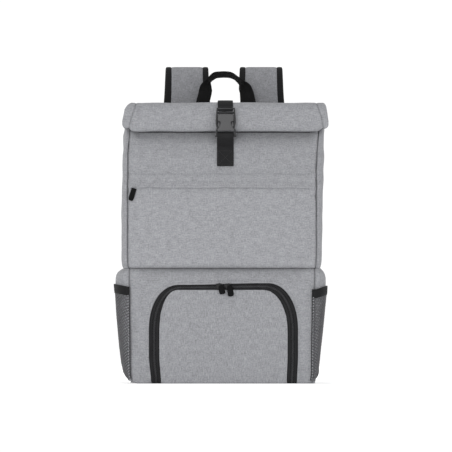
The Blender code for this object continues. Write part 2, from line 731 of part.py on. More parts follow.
def buckle_socket(parts, tools):
    """The lower half of the buckle: a hollow body with side windows and a strap loop.

    Returns the height of the loop's upper edge.
    """
    neck = BUCKLE_BAR * 2 + BUCKLE_SLOT + FIT
    top = BUCKLE_TOP - neck - FIT
    middle = -BUCKLE_BACK - BUCKLE_PLATE / 2
    bottom = top - SOCKET_HEIGHT
    socket = block("buckle_socket", (SOCKET_WIDTH, SOCKET_DEPTH, SOCKET_HEIGHT),
                   (TOP_SHIFT, middle, top - SOCKET_HEIGHT / 2), "black_plastic", parts,
                   bevel=SOCKET_WALL * 0.6)
    loop_width = ANCHOR_STRAP_WIDTH + 2 * FIT + 2 * BUCKLE_SIDE
    loop_height = SOCKET_LOOP_SLOT + SOCKET_LOOP_BAR + SOCKET_WALL
    loop = block("socket_loop", (loop_width, BUCKLE_PLATE, loop_height),
                 (TOP_SHIFT, middle, bottom + SOCKET_WALL - loop_height / 2), None, tools)
    cut(socket, cutter(loop), "UNION")
    cavity_width = SOCKET_WIDTH - 2 * SOCKET_WALL
    cavity_depth = BUCKLE_PLATE + 2 * FIT
    cavity_height = SOCKET_HEIGHT - 2 * SOCKET_WALL
    cavity = block("socket_cavity", (cavity_width, cavity_depth, cavity_height * 2),
                   (TOP_SHIFT, middle, top), None, tools)
    cut(socket, cutter(cavity))
    window = block("socket_window", (SOCKET_WIDTH * 2, cavity_depth, WINDOW_HEIGHT),
                   (TOP_SHIFT, middle, top - WINDOW_DROP - WINDOW_HEIGHT / 2), None, tools)
    cut(socket, cutter(window))
    slot = block("socket_slot", (ANCHOR_STRAP_WIDTH + 2 * FIT, SOCKET_DEPTH * 3, SOCKET_LOOP_SLOT),
                 (TOP_SHIFT, middle, bottom - SOCKET_LOOP_SLOT / 2), None, tools)
    cut(socket, cutter(slot))
    return bottom


def grab_handle(parts):
    """A loop of webbing that stands on the back panel's top and twists flat to the hand."""
    foot = BACK_PAD_HEIGHT + TOUCH
    rise = HANDLE_TOP - foot
    straight = 0.30

    def centre(angle):
        x = HANDLE_HALF * power(math.cos(angle), HANDLE_ROUNDNESS)
        z = foot + rise * straight + rise * (1 - straight) * power(math.sin(angle), HANDLE_ROUNDNESS)
        return Vector((x, 0.0, z))

    def place(v, across):
        if v < 0.12 or v > 0.88:
            side = 1 if v < 0.5 else -1
            spot = min(v, 1 - v) / 0.12
            point = Vector((side * HANDLE_HALF, 0.0, foot + rise * straight * spot))
            inward = Vector((-side, 0.0, 0.0))
            twist = 0.0
        else:
            angle = math.pi * (v - 0.12) / 0.76
            point = centre(angle)
            ahead = centre(min(angle + 0.02, math.pi)) - centre(max(angle - 0.02, 0.0))
            ahead.normalize()
            inward = Vector((0.0, 1.0, 0.0)).cross(ahead)
            if inward.dot(Vector((0.0, 0.0, foot)) - point) < 0:
                inward.negate()
            twist = HANDLE_TWIST * math.sin(angle) ** 0.8
        wide = inward * math.cos(twist) + Vector((0.0, 1.0, 0.0)) * math.sin(twist)
        middle = PAD_FRONT + BACK_PAD / 2
        return point + wide * across + Vector((TOP_SHIFT, middle, 0.0))
    ribbon("grab_handle", place, 24, HANDLE_WIDTH, HANDLE_WEBBING, "black_webbing", parts)


def strap_point(side, share, across):
    """A point on a shoulder strap's middle surface, across metres from its middle line."""
    out = STRAP_STANDOFF * between(STRAP_ROUTE, "out", share)
    reach = STRAP_TOP - STRAP_PAD / 2 - STRAP_BOTTOM
    height = STRAP_BOTTOM + reach * between(STRAP_ROUTE, "height", share)
    aside = STRAP_SPACING * between(STRAP_ROUTE, "aside", share)
    return Vector((STRAP_SHIFT + side * aside + across, PAD_BACK + out, height))


def strap_width(share):
    """The whole width of a shoulder strap, its bindings included."""
    return STRAP_WIDTH * between(STRAP_ROUTE, "width", share)


def shoulder_straps(parts, tools):
    """Two padded straps with bound edges, their webbing tails and ladder-lock adjusters."""
    for side in (-1, 1):
        word = side_name(side)

        def core(v, across, side=side):
            return strap_point(side, v, across)

        def core_width(v):
            return strap_width(v) - 2 * STRAP_BINDING - 2 * TOUCH
        ribbon("shoulder_strap_" + word, core, 26, core_width, STRAP_PAD, "grey_fabric", parts)
        for edge, place_word in ((-1, "inner"), (1, "outer")):
            def binding(v, across, side=side, edge=edge):
                middle = side * edge * (strap_width(v) - STRAP_BINDING) / 2
                return strap_point(side, v, middle + across)
            ribbon("strap_binding_" + word + "_" + place_word, binding, 26, STRAP_BINDING,
                   STRAP_BINDING_THICKNESS, "black_binding", parts, across=1)
        strap_tail(side, word, parts, tools)


def strap_tail(side, word, parts, tools):
    """The webbing below a padded strap: a tab, its adjuster, and the tail to the base."""
    end = strap_point(side, 1.0, 0.0)
    anchor = Vector((side * TAIL_SPREAD, PAD_BACK + TOUCH + WEBBING / 2, TAIL_ANCHOR))
    line = (anchor - end).normalized()
    start = end + line * STRAP_PAD * 0.35
    centre = start + line * ADJUSTER_DROP
    flat = Vector((1.0, 0.0, 0.0))
    flat = (flat - line * flat.dot(line)).normalized()
    normal = line.cross(flat).normalized()
    if normal.y < 0:
        normal.negate()
        flat.negate()
    turn = Matrix((flat, normal, flat.cross(normal))).transposed()
    plate = block("strap_adjuster_" + word, (ADJUSTER_WIDTH, ADJUSTER_THICKNESS, ADJUSTER_LENGTH),
                  centre, "black_plastic", parts, turn=turn, bevel=ADJUSTER_THICKNESS * 0.2)
    reach = ADJUSTER_LENGTH / 2 - ADJUSTER_BAR - ADJUSTER_SLOT / 2
    for end_sign, slot_word in ((1, "upper"), (-1, "lower")):
        spot = centre - line * reach * end_sign
        slot = block("adjuster_slot_" + word + "_" + slot_word,
                     (TAIL_WIDTH + 2 * FIT, ADJUSTER_THICKNESS * 4, ADJUSTER_SLOT),
                     spot, None, tools, turn=turn)
        cut(plate, cutter(slot))
    behind = normal * (ADJUSTER_THICKNESS / 2 + WEBBING / 2 + TOUCH * 2)

    level = Vector((math.copysign(1.0, flat.x), 0.0, 0.0))

    def tail(name, points, level_points=0):
        def place(v, across):
            step = round(v * (len(points) - 1))
            wide = level if step >= len(points) - level_points else flat
            return points[step] + wide * across
        ribbon(name, place, len(points) - 1, TAIL_WIDTH, WEBBING, "black_webbing", parts, across=1)

    upper_edge = centre - line * (ADJUSTER_LENGTH / 2)
    upper_slot = centre - line * reach
    lower_slot = centre + line * reach
    lower_edge = centre + line * (ADJUSTER_LENGTH / 2)
    first = end + line * (STRAP_PAD * 0.30)
    tail("strap_tab_" + word, [first, upper_edge + behind - line * ADJUSTER_BAR,
                               upper_slot + behind, upper_slot - behind * 0.7])
    near_anchor = anchor + Vector((0.0, 0.0, TAIL_HEIGHT))
    tail("strap_tail_" + word, [lower_slot - behind * 0.7, lower_slot + behind,
                                lower_edge + behind + line * ADJUSTER_BAR,
                                near_anchor, anchor], level_points=2)


def main():
    """Build the backpack, its pieces in one collection and the cutters in another."""
    clear_scene()
    parts = new_collection("roll_top_backpack")
    tools = new_collection("cutters")
    lower_panels(parts, tools)
    upper_panels(parts)
    back_panel(parts)
    front_pocket(parts)
    door_hardware(parts)
    net_pockets(parts)
    rolled_top(parts)
    closure(parts, tools)
    grab_handle(parts)
    shoulder_straps(parts, tools)


main()
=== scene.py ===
"""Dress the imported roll-top backpack with its cloth, netting, webbing and hardware.

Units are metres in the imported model's own frame: +Z up, +Y to the worn back.
"""

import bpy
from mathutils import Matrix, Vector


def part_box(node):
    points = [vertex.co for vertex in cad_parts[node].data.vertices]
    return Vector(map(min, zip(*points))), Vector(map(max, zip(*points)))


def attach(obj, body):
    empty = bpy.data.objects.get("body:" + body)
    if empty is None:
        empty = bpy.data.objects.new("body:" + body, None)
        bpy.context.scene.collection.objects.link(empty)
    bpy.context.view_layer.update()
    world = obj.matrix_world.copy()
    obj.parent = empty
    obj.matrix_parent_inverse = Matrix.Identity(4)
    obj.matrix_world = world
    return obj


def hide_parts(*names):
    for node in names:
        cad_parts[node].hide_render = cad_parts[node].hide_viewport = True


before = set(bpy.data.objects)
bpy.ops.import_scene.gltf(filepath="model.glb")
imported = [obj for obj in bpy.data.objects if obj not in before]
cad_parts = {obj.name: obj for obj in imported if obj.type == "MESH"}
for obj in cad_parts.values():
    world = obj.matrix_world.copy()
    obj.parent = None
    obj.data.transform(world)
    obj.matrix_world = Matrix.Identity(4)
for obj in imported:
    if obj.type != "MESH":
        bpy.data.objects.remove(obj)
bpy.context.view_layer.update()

import logging
import math
from collections.abc import Callable, Sequence
from dataclasses import dataclass, field
from enum import Enum
from functools import cache

import bpy
import numpy as np
from mathutils import Matrix, Vector

log = logging.getLogger("backpack")

Array = np.ndarray
OnGrid = Callable[[Array, Array], Array]
Sockets = bpy.types.bpy_prop_collection
Triple = tuple[float, float, float]


class Side(Enum):
    """The left and right of the pack as seen from its front."""

    LEFT = -1
    RIGHT = 1

    @property
    def word(self) -> str:
        """The side's name in lower case."""
        return self.name.lower()


class Slot(Enum):
    """The record's material slots."""

    GREY_FABRIC = "grey_fabric"
    BLACK_WEBBING = "black_webbing"
    BLACK_BINDING = "black_binding"
    GREY_NET = "grey_net"
    BLACK_ZIP = "black_zip"
    BLACK_PLASTIC = "black_plastic"
    BACK_FABRIC = "back_fabric"


# ---------------------------------------------------------------- number helpers

def smooth_column(values: Array, share: Array) -> Array:
    """Read one column of a table smoothly between its rows.

    Args:
        values: The column, one value a row.
        share: Where to read, 0 at the first row and 1 at the last.

    Returns:
        The values at those shares.
    """
    last = len(values) - 1
    spot = np.clip(np.asarray(share, float), 0.0, 1.0) * last
    first = np.clip(spot.astype(int), 0, last - 1)
    part = spot - first
    before, start = values[np.maximum(first - 1, 0)], values[first]
    end, after = values[first + 1], values[np.minimum(first + 2, last)]
    limit = 2.5 * np.abs(end - start)
    slope_start = np.where((start - before) * (end - start) <= 0, 0.0, (end - before) / 2)
    slope_end = np.where((end - start) * (after - end) <= 0, 0.0, (after - start) / 2)
    slope_start = np.clip(slope_start, -limit, limit)
    slope_end = np.clip(slope_end, -limit, limit)
    square = part * part
    cube = square * part
    return (start * (2 * cube - 3 * square + 1) + slope_start * (cube - 2 * square + part)
            + end * (3 * square - 2 * cube) + slope_end * (cube - square))


def power(value: Array, squareness: float) -> Array:
    """One coordinate of a superellipse, from its cosine or sine."""
    value = np.asarray(value, float)
    return np.sign(value) * np.abs(value) ** (2.0 / squareness)


def points_of(x: Array, y: Array, z: Array) -> Array:
    """Join three coordinates, each an array or one number, into rows of points."""
    return np.stack(np.broadcast_arrays(x, y, z), axis=-1).astype(float)


def dense_ends(share: Array, crowd: float = 0.20) -> Array:
    """Spread 0 to 1 again, closer together at both ends; crowd stays under a quarter."""
    spot = 2 * np.asarray(share, float) - 1
    return (spot * (1 + crowd * 2 - crowd * 2 * spot * spot)) / 2 + 0.5


def pinch(distance: Array, depth: float, width: float) -> Array:
    """How far a cloth's edge is drawn in beside its seam."""
    return depth * np.exp(-(np.maximum(distance, 0.0) / width) ** 1.5)


def ease(value: Array) -> Array:
    """0 below 0, 1 above 1, and a smooth rise between."""
    part = np.clip(value, 0.0, 1.0)
    return part * part * (3 - 2 * part)


def ramp(value: Array, start: float, reach: float) -> Array:
    """A smooth rise from 0 at the start to 1 a reach beyond it; a negative reach lies below the start."""
    return ease((value - start) / reach)


def waver(along: Array, size: float, wave: float, phase: float) -> Array:
    """A slow uneven wave, as of a hand-fed seam."""
    turn = 2 * math.pi * np.asarray(along) / wave
    return size * (np.sin(turn + phase) * 0.6 + np.sin(turn * 2.3 + phase * 2.1) * 0.4)

@dataclass(frozen=True)
class Ridge:
    """A soft ridge, groove or shadow across a distance: its place, half width and rise."""

    at: float
    width: float
    rise: float = 1.0

    def out(self, distance: Array) -> Array:
        """How far it stands out at each distance."""
        return self.rise * np.exp(-((distance - self.at) / self.width) ** 2)


@dataclass(frozen=True)
class Fold:
    """A soft crease or swell on a panel, between two places given as (across, height)."""

    start: tuple[float, float]
    end: tuple[float, float]
    width: float
    lift: float

    def out(self, across: Array, height: Array) -> Array:
        """How far the cloth stands out at each place."""
        start, end = np.array(self.start), np.array(self.end)
        length = float(np.hypot(*(end - start)))
        line = (end - start) / length
        along = (across - start[0]) * line[0] + (height - start[1]) * line[1]
        aside = (across - start[0]) * -line[1] + (height - start[1]) * line[0]
        fade = ease(np.minimum(along, length - along) / (length * 0.35) + 0.3)
        return self.lift * fade * Ridge(0.0, self.width).out(aside)


def folds_out(folds: Sequence[Fold], across: Array, height: Array) -> Array:
    """The sum of several folds."""
    return sum(fold.out(across, height) for fold in folds)


def lifted(points: Array) -> Array:
    """Round the base's front left corner up off the floor."""
    lift = 0.0044
    aside = ramp(points[..., 0], start=-0.1265, reach=-0.0120)
    ahead = ramp(points[..., 1], start=0.030, reach=-0.060)
    points[..., 2] += lift * aside * ahead * ramp(points[..., 2], start=0.016, reach=-0.016)
    return points


def steps_of(route: Array) -> Array:
    """The length along a route up to each of its points."""
    return np.r_[0.0, np.cumsum(np.linalg.norm(np.diff(route, axis=0), axis=1))]


def read_rows(wanted: Array, steps: Array, rows: Array) -> Array:
    """Rows that lie at the given steps, read straight between them at other ones."""
    return np.stack([np.interp(wanted, steps, column) for column in rows.T], axis=1)


def resample(route: Array, count: int) -> Array:
    """A smooth route through the given points, with even steps.

    Args:
        route: The points to pass, one a row.
        count: How many points to return.

    Returns:
        That many points, evenly spaced along the smooth line.
    """
    dense = np.stack([smooth_spline(column) for column in np.asarray(route, float).T], axis=1)
    steps = steps_of(dense)
    return read_rows(np.linspace(0.0, steps[-1], count), steps, dense)


def smooth_spline(values: Array) -> Array:
    """One coordinate of a smooth line through its values."""
    padded = np.r_[2 * values[0] - values[1], values, 2 * values[-1] - values[-2]]
    part = np.linspace(0.0, 1.0, 24, endpoint=False)
    pieces = []
    for first in range(len(values) - 1):
        before, start, end, after = padded[first:first + 4]
        pieces.append(0.5 * (2 * start + (end - before) * part
                             + (2 * before - 5 * start + 4 * end - after) * part ** 2
                             + (3 * start - before - 3 * end + after) * part ** 3))
    return np.r_[np.concatenate(pieces), values[-1]]


def unit(rows: Array) -> Array:
    """Rows scaled to length one."""
    return rows / np.maximum(np.linalg.norm(rows, axis=-1, keepdims=True), 1e-9)


def directions(route: Array) -> Array:
    """The unit direction of a route at each of its points."""
    return unit(np.gradient(route, axis=0))


# ---------------------------------------------------------------- the pack's own forms

RISE, SEAM, BULGE, FRONT, BOW, BACK = range(6)  # the columns of a volume's table


@dataclass(frozen=True)
class Volume:
    """One compartment, as shares of its named sizes at sections from bottom to top."""

    rows: Array
    base: float
    height: float
    seam: float
    bulge: float
    front: float
    bow: float
    back: float
    lip: float = 0.0020
    gap: float = 0.0004
    squareness: float = 2.6

    def read(self, column: int, share: Array) -> Array:
        """One column of the table at each share."""
        return smooth_column(self.rows[:, column], share)

    def height_at(self, share: Array) -> Array:
        """The height above the floor at each share of the way up the table."""
        return self.base + self.height * self.read(RISE, share)

    def share_of(self, height: Array) -> Array:
        """The share of the way up the table at a height above the floor."""
        shares = np.linspace(0.0, 1.0, 2001)
        rises = self.read(RISE, shares)
        return np.interp((np.asarray(height, float) - self.base) / self.height, rises, shares)

    def seam_at(self, share: Array) -> Array:
        """The half width of the front wall between its seams."""
        return self.seam * self.read(SEAM, share) - self.gap

    def front_at(self, share: Array) -> Array:
        """How far the front seams stand before the middle."""
        return self.front * self.read(FRONT, share)

    def front_wall(self, across: Array, share: Array, out: Array = 0.0) -> Array:
        """Points on the front wall, across from -1 to 1, out metres before it."""
        depth = self.front_at(share) + self.bow * self.read(BOW, share) * (1 - across * across)
        return points_of(self.seam_at(share) * across, -depth - out, self.height_at(share))

    def on_front(self, x: Array, z: Array, out: Array = 0.0) -> Array:
        """Points on the front wall at places given by x and z."""
        share = self.share_of(z)
        return self.front_wall(x / self.seam_at(share), share, out)

    def back_wall(self, across: Array, share: Array, out: Array = 0.0) -> Array:
        """Points on the back side, across from -1 to 1, out metres above or behind it."""
        return points_of(self.seam_at(share) * across, self.back * self.read(BACK, share),
                         self.height_at(share) + out)

    def room_to(self, side: Side, height: Array, share: Array) -> Array:
        """How far the side wall stands out beyond its table, to meet the side's own line."""
        wanted = read_column(height, SIDE_LINES[side])
        return wanted - self.seam * self.read(SEAM, share) - self.lip - self.bulge * self.read(BULGE, share)

    def side_wall(self, side: Side, angle: Array, share: Array, room: Array = 0.0,
                  skin: float = 0.0) -> Array:
        """Points on a side wall, by the angle from -90 degrees at the front seam to 90 at the back."""
        front, back = -self.front_at(share), self.back * self.read(BACK, share)
        half = (back - front) / 2 + skin
        bulge = self.bulge * self.read(BULGE, share) + room + skin
        x = self.seam * self.read(SEAM, share) + self.lip + bulge * power(np.cos(angle), self.squareness)
        y = (front + back) / 2 + half * power(np.sin(angle), self.squareness)
        return points_of(side.value * x, y, self.height_at(share))


def read_column(wanted: Array, table: Sequence[tuple[float, ...]], column: int = 1) -> Array:
    """A column of a table, read straight between its rows by its first column."""
    rows = np.array(table)
    return np.interp(wanted, rows[:, 0], rows[:, column])


LOWER = Volume(np.array((
    (0.000, 0.970, 0.05, 0.950, 0.3, 1.00), (0.045, 0.985, 0.07, 0.978, 0.5, 1.00),
    (0.130, 0.992, 0.10, 0.992, 0.8, 1.00), (0.400, 0.994, 0.22, 1.000, 1.0, 1.00),
    (0.640, 1.000, 0.42, 1.000, 1.0, 1.00), (0.780, 1.000, 0.67, 1.000, 1.0, 1.00),
    (0.870, 1.000, 0.93, 0.998, 1.0, 1.00), (0.935, 1.000, 0.87, 0.990, 1.0, 1.00),
    (0.975, 1.000, 0.72, 0.970, 0.9, 1.00), (1.000, 0.998, 0.50, 0.925, 0.7, 1.00))),
    base=0.0, height=0.1728, seam=0.1395, bulge=0.0185, front=0.080, bow=0.0060, back=0.075)
UPPER = Volume(np.array((
    (0.000, 0.993, 0.80, 0.965, 0.8, 1.00), (0.035, 0.998, 0.95, 0.990, 1.0, 1.00),
    (0.120, 1.000, 1.00, 1.000, 1.0, 1.00), (0.350, 1.000, 1.00, 1.000, 1.0, 1.00),
    (0.600, 1.000, 1.00, 0.975, 1.0, 1.00), (0.790, 1.000, 1.00, 0.890, 0.8, 1.00),
    (0.900, 1.000, 1.00, 0.790, 0.5, 1.00), (0.945, 1.000, 0.98, 0.720, 0.3, 0.99),
    (0.968, 1.000, 0.94, 0.650, 0.2, 0.90), (0.984, 1.000, 0.88, 0.600, 0.1, 0.30),
    (1.000, 1.000, 0.30, 0.560, 0.0, -0.46))),
    base=0.1732, height=0.2033, seam=0.1415, bulge=0.0078, front=0.0755, bow=0.0045, back=0.075)
SIDE_LINES = {
    Side.LEFT: ((0.000, 0.1345), (0.0046, 0.1386), (0.010, 0.1428), (0.018, 0.1468), (0.032, 0.1498),
                (0.058, 0.1530), (0.081, 0.1550), (0.1035, 0.1570), (0.137, 0.1590), (0.151, 0.1602),
                (0.158, 0.1600), (0.163, 0.1590), (0.167, 0.1566), (0.170, 0.1530), (0.1728, 0.1480)),
    Side.RIGHT: ((0.000, 0.1340), (0.0054, 0.1372), (0.0120, 0.1408), (0.0169, 0.1426), (0.0284, 0.1444),
                 (0.0455, 0.1461), (0.0606, 0.1478), (0.0766, 0.1496), (0.092, 0.1512), (0.1105, 0.1529),
                 (0.1265, 0.1546), (0.134, 0.1553), (0.152, 0.1561), (0.158, 0.1560), (0.163, 0.1550),
                 (0.168, 0.1526), (0.1728, 0.1480))}
CLOTH = 0.0016
TOUCH = 0.0003
TOP_SHIFT = 0.0050
PAD_FRONT = 0.0753
PAD_BACK = 0.0843
PAD_TOP = 0.3840
AHEAD = (0.0, -1.0, 0.0)
ASIDE = (1.0, 0.0, 0.0)
SEAM_SHADOW = Ridge(0.0, 0.0008)
FLOOR_SHADOW = Ridge(0.0, 0.0014)
SEWING = (0.0033, 0.0026, 0.0006)  # the grey stitches' pitch, length and thickness


# ---------------------------------------------------------------- mesh making

def deselect() -> None:
    """Leave nothing selected, in object mode."""
    if bpy.context.mode != "OBJECT":
        bpy.ops.object.mode_set(mode="OBJECT")
    bpy.ops.object.select_all(action="DESELECT")


def take_new(name: str) -> bpy.types.Object:
    """Name the primitive that was just added, and its mesh."""
    item = bpy.context.active_object
    item.name = name
    item.data.name = name
    return item


def pick(item: bpy.types.Object) -> None:
    """Select one object alone and make it the active one."""
    deselect()
    item.select_set(True)
    bpy.context.view_layer.objects.active = item


def settle(item: bpy.types.Object) -> None:
    """Put an object's place, turn and size into its mesh."""
    pick(item)
    bpy.ops.object.transform_apply(location=True, rotation=True, scale=True)


def apply_modifier(item: bpy.types.Object, kind: str, **settings: object) -> None:
    """Add a modifier with its settings and apply it at once."""
    pick(item)
    step = item.modifiers.new(kind.lower(), kind)
    for key, value in settings.items():
        setattr(step, key, value)
    bpy.ops.object.modifier_apply(modifier=step.name)


def in_edit_mode(item: bpy.types.Object, *steps: Callable[[], object]) -> None:
    """Run edit mode operators on all of a mesh."""
    pick(item)
    bpy.ops.object.mode_set(mode="EDIT")
    bpy.ops.mesh.select_all(action="SELECT")
    for step in steps:
        step()
    bpy.ops.object.mode_set(mode="OBJECT")


def dress(item: bpy.types.Object, finish: "Finish", *nodes: str) -> bpy.types.Object:
    """Give a piece its finish's material, let it ride, and hide the CAD nodes it stands for."""
    item.data.materials.clear()
    item.data.materials.append(finish.material())
    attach(item, "root")
    if nodes:
        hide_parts(*nodes)
    return item


def cloth(name: str, place: OnGrid, across: int, along: int, wall: float = 0.0,
          facing: Triple | None = None, shade: OnGrid | None = None,
          closed: bool = False, flip: bool = False, level: bool = False) -> bpy.types.Object:
    """A grid laid on a surface, with a map in metres that follows the cloth.

    Args:
        name: The piece's name.
        place: Gives the points for arrays of u and v from 0 to 1.
        across: Faces along u.
        along: Faces along v.
        wall: The cloth's thickness, laid inwards, or 0 for none.
        facing: The outer side's rough direction, to turn the faces by.
        shade: Gives the painted shade at each place, from 0 to 1, darkest in seams and hollows.
        closed: True where the edges meet in a closed form.
        flip: True to turn the faces round where no facing is given.
        level: True to lay the map straight from the front, not along the grid.

    Returns:
        The finished object.
    """
    deselect()
    bpy.ops.mesh.primitive_grid_add(x_subdivisions=across, y_subdivisions=along, size=1.0)
    item = take_new(name)
    mesh = item.data
    count = len(mesh.vertices)
    spots = read_mesh(mesh.vertices, "co", 3)
    u, v = spots[:, 0] + 0.5, spots[:, 1] + 0.5
    points = place(u, v)
    mesh.vertices.foreach_set("co", points.ravel())
    order = np.lexsort((np.round(u, 6), np.round(v, 6)))
    spread = np.empty((count, 2))
    spread[order] = grid_map(points[order].reshape(along + 1, across + 1, 3))
    if level:
        spread = np.ascontiguousarray(points[:, [0, 2]])
    corners = np.empty(len(mesh.loops), int)
    mesh.loops.foreach_get("vertex_index", corners)
    if not mesh.uv_layers:
        mesh.uv_layers.new(name="cloth")
    mesh.uv_layers[0].data.foreach_set("uv", spread[corners].ravel())
    # This attribute holds painted shade: how far each place's colour is darkened for the shade in seams,
    # hollows and shadowed places.
    mark = mesh.attributes.new("painted_shade", "FLOAT", "POINT")
    mark.data.foreach_set("value", (shade(u, v) if shade else np.zeros(count)).astype(float))
    mesh.update()
    if facing is not None:
        normals = read_mesh(mesh.polygons, "normal", 3) * read_mesh(mesh.polygons, "area", 1)
        flip = float(normals.sum(axis=0) @ np.array(facing)) < 0
    if flip:
        in_edit_mode(item, bpy.ops.mesh.flip_normals)
    if closed:
        in_edit_mode(item, lambda: bpy.ops.mesh.remove_doubles(threshold=0.00002),
                     lambda: bpy.ops.mesh.normals_make_consistent(inside=False))
    if wall:
        apply_modifier(item, "SOLIDIFY", thickness=wall, offset=-1.0, use_even_offset=False)
    pick(item)
    bpy.ops.object.shade_smooth_by_angle(angle=math.radians(50))
    return item


def read_mesh(items: bpy.types.bpy_prop_collection, word: str, width: int) -> Array:
    """One property of all of a mesh's vertices or faces, a row each."""
    values = np.empty(len(items) * width)
    items.foreach_get(word, values)
    return values.reshape(-1, width)


def grid_map(net: Array) -> Array:
    """A grid's map in metres: along each row from its middle, and up by the rows' mean rise."""
    wide = np.cumsum(np.linalg.norm(np.diff(net, axis=1, prepend=net[:, :1]), axis=2), axis=1)
    middle = net.shape[1] // 2
    wide -= wide[:, middle:middle + 1]
    tall = np.cumsum(np.linalg.norm(np.diff(net, axis=0, prepend=net[:1]), axis=2), axis=0)
    tall = np.broadcast_to(tall.mean(axis=1, keepdims=True), tall.shape)
    return np.stack([wide.ravel(), tall.ravel()], axis=1)


def stand(item: bpy.types.Object) -> None:
    """Lift to the floor whatever part of a mesh lies just below it."""
    for vertex in item.data.vertices:
        vertex.co.z = max(vertex.co.z, 0.0)


def from_points(name: str, points: Array, faces: Sequence[tuple[int, ...]]) -> bpy.types.Object:
    """A smooth object made of its points and faces."""
    mesh = bpy.data.meshes.new(name)
    mesh.from_pydata(points.reshape(-1, 3).tolist(), [], faces)
    mesh.update()
    mesh.shade_smooth()
    item = bpy.data.objects.new(name, mesh)
    bpy.context.scene.collection.objects.link(item)
    return item


def many(name: str, template: bpy.types.Object, places: Array, turns: Array) -> bpy.types.Object:
    """Copies of one small form joined as one mesh.

    Args:
        name: The joined piece's name.
        template: The small form, modelled about the origin; it is removed afterwards.
        places: The copies' centres, one a row.
        turns: The copies' axes, a 3 by 3 matrix each with its axes as columns.

    Returns:
        The joined object.
    """
    local = read_mesh(template.data.vertices, "co", 3)
    points = np.einsum("nij,vj->nvi", turns, local) + places[:, None, :]
    faces = [tuple(face.vertices) for face in template.data.polygons]
    item = from_points(name, points, [tuple(corner + len(local) * copy for corner in face)
                                      for copy in range(len(places)) for face in faces])
    bpy.data.objects.remove(template, do_unlink=True)
    return item


def grain(name: str, size: Triple, segments: int = 6, rings: int = 4) -> bpy.types.Object:
    """A small rounded form about the origin, long along its own x."""
    deselect()
    bpy.ops.mesh.primitive_uv_sphere_add(segments=segments, ring_count=rings, radius=0.5,
                                         rotation=(0.0, math.pi / 2, 0.0))
    item = take_new(name)
    item.scale = size[::-1]
    settle(item)
    return item


def stitches(name: str, rows: Sequence[tuple[Array, Triple]], finish: "Finish",
             pitch: float, length: float, thick: float) -> bpy.types.Object:
    """Lockstitches laid along rows on the cloth.

    Args:
        name: The piece's name.
        rows: For each row its route and the cloth's outward direction.
        finish: The thread's finish.
        pitch: From one stitch to the next.
        length: A stitch's length.
        thick: The thread's thickness.

    Returns:
        The joined stitches.
    """
    places, turns = [], []
    for route, outward in rows:
        steps = steps_of(route)
        wanted = np.arange(pitch / 2, steps[-1], pitch)
        normal = unit(np.array(outward, float))
        line = unit(read_rows(wanted, steps, directions(route)))
        aside = unit(np.cross(normal, line))
        places.append(read_rows(wanted, steps, route) + normal * thick * 0.2)
        turns.append(np.stack([line, aside, unit(np.cross(line, aside))], axis=2))
    item = many(name, grain(name + "_form", (length, thick, thick)), np.concatenate(places),
                np.concatenate(turns))
    return dress(item, finish)


# ---------------------------------------------------------------- finishes

class Wiring:
    """A node tree with short ways to add and join nodes."""

    def __init__(self, tree: bpy.types.NodeTree) -> None:
        """Keep the tree."""
        self.tree = tree

    def put(self, value: object, socket: bpy.types.NodeSocket) -> None:
        """Join a value to a socket, or set it there if it is a plain one."""
        if isinstance(value, bpy.types.NodeSocket):
            self.tree.links.new(value, socket)
        else:
            socket.default_value = value

    def add(self, kind: str, inputs: dict[str | int, object] | None = None,
            **settings: object) -> bpy.types.Node:
        """Add a node.

        Args:
            kind: The node's type name after ShaderNode.
            inputs: Values or output sockets for its inputs, by name or number.
            settings: The node's own properties.

        Returns:
            The node.
        """
        node = self.tree.nodes.new("ShaderNode" + kind)
        for key, value in settings.items():
            setattr(node, key, value)
        for key, value in (inputs or {}).items():
            self.put(value, node.inputs[key])
        return node

    def sum(self, operation: str, first: object, second: object = 0.0,
            third: object = 0.0) -> bpy.types.NodeSocket:
        """A Math node's result."""
        return self.add("Math", {0: first, 1: second, 2: third}, operation=operation).outputs[0]

    def ribs(self, value: object, times: float) -> bpy.types.NodeSocket:
        """Rounded ribs in a row, from 0 to 1 and back."""
        return self.sum("ABSOLUTE", self.sum("SINE", self.sum("MULTIPLY", value, times)))

    def scaled(self, vector: bpy.types.NodeSocket, *scale: float) -> bpy.types.NodeSocket:
        """A vector times a scale for each axis, or one for all."""
        scale = scale if len(scale) == 3 else scale * 3
        return self.add("VectorMath", {0: vector, 1: scale}, operation="MULTIPLY").outputs[0]

    def noise(self, vector: bpy.types.NodeSocket, detail: float = 1.0,
              rough: float = 0.5) -> bpy.types.NodeSocket:
        """A noise value that is already scaled by its vector."""
        node = self.add("TexNoise", {"Vector": vector, "Scale": 1.0, "Detail": detail, "Roughness": rough})
        return node.outputs[0]

    def spread(self, value: object, low: float, high: float, to_low: float = 0.0,
               to_high: float = 1.0) -> bpy.types.NodeSocket:
        """A value's range laid on another, held at its ends."""
        node = self.add("MapRange", {0: value, 1: low, 2: high, 3: to_low, 4: to_high}, clamp=True)
        return node.outputs[0]

    def mix(self, share: object, first: object, second: object) -> bpy.types.NodeSocket:
        """Two colours mixed by a share."""
        return self.add("Mix", {0: share, 6: first, 7: second}, data_type="RGBA").outputs[2]

    def effect(self, tree: bpy.types.NodeTree, vector: bpy.types.NodeSocket, number: float) -> Sockets:
        """The outputs of a shared node group at a vector and a number."""
        return self.add("Group", {0: vector, 1: number}, node_tree=tree).outputs

    def painted_shade(self) -> bpy.types.NodeSocket:
        """How much painted shade the place gets, as its mesh's attribute tells it: darkest in seams and
        hollows.
        """
        return self.add("Attribute", attribute_name="painted_shade").outputs["Fac"]

    def place(self) -> bpy.types.NodeSocket:
        """The place in the object's own coordinates."""
        return self.add("TexCoord").outputs["Object"]


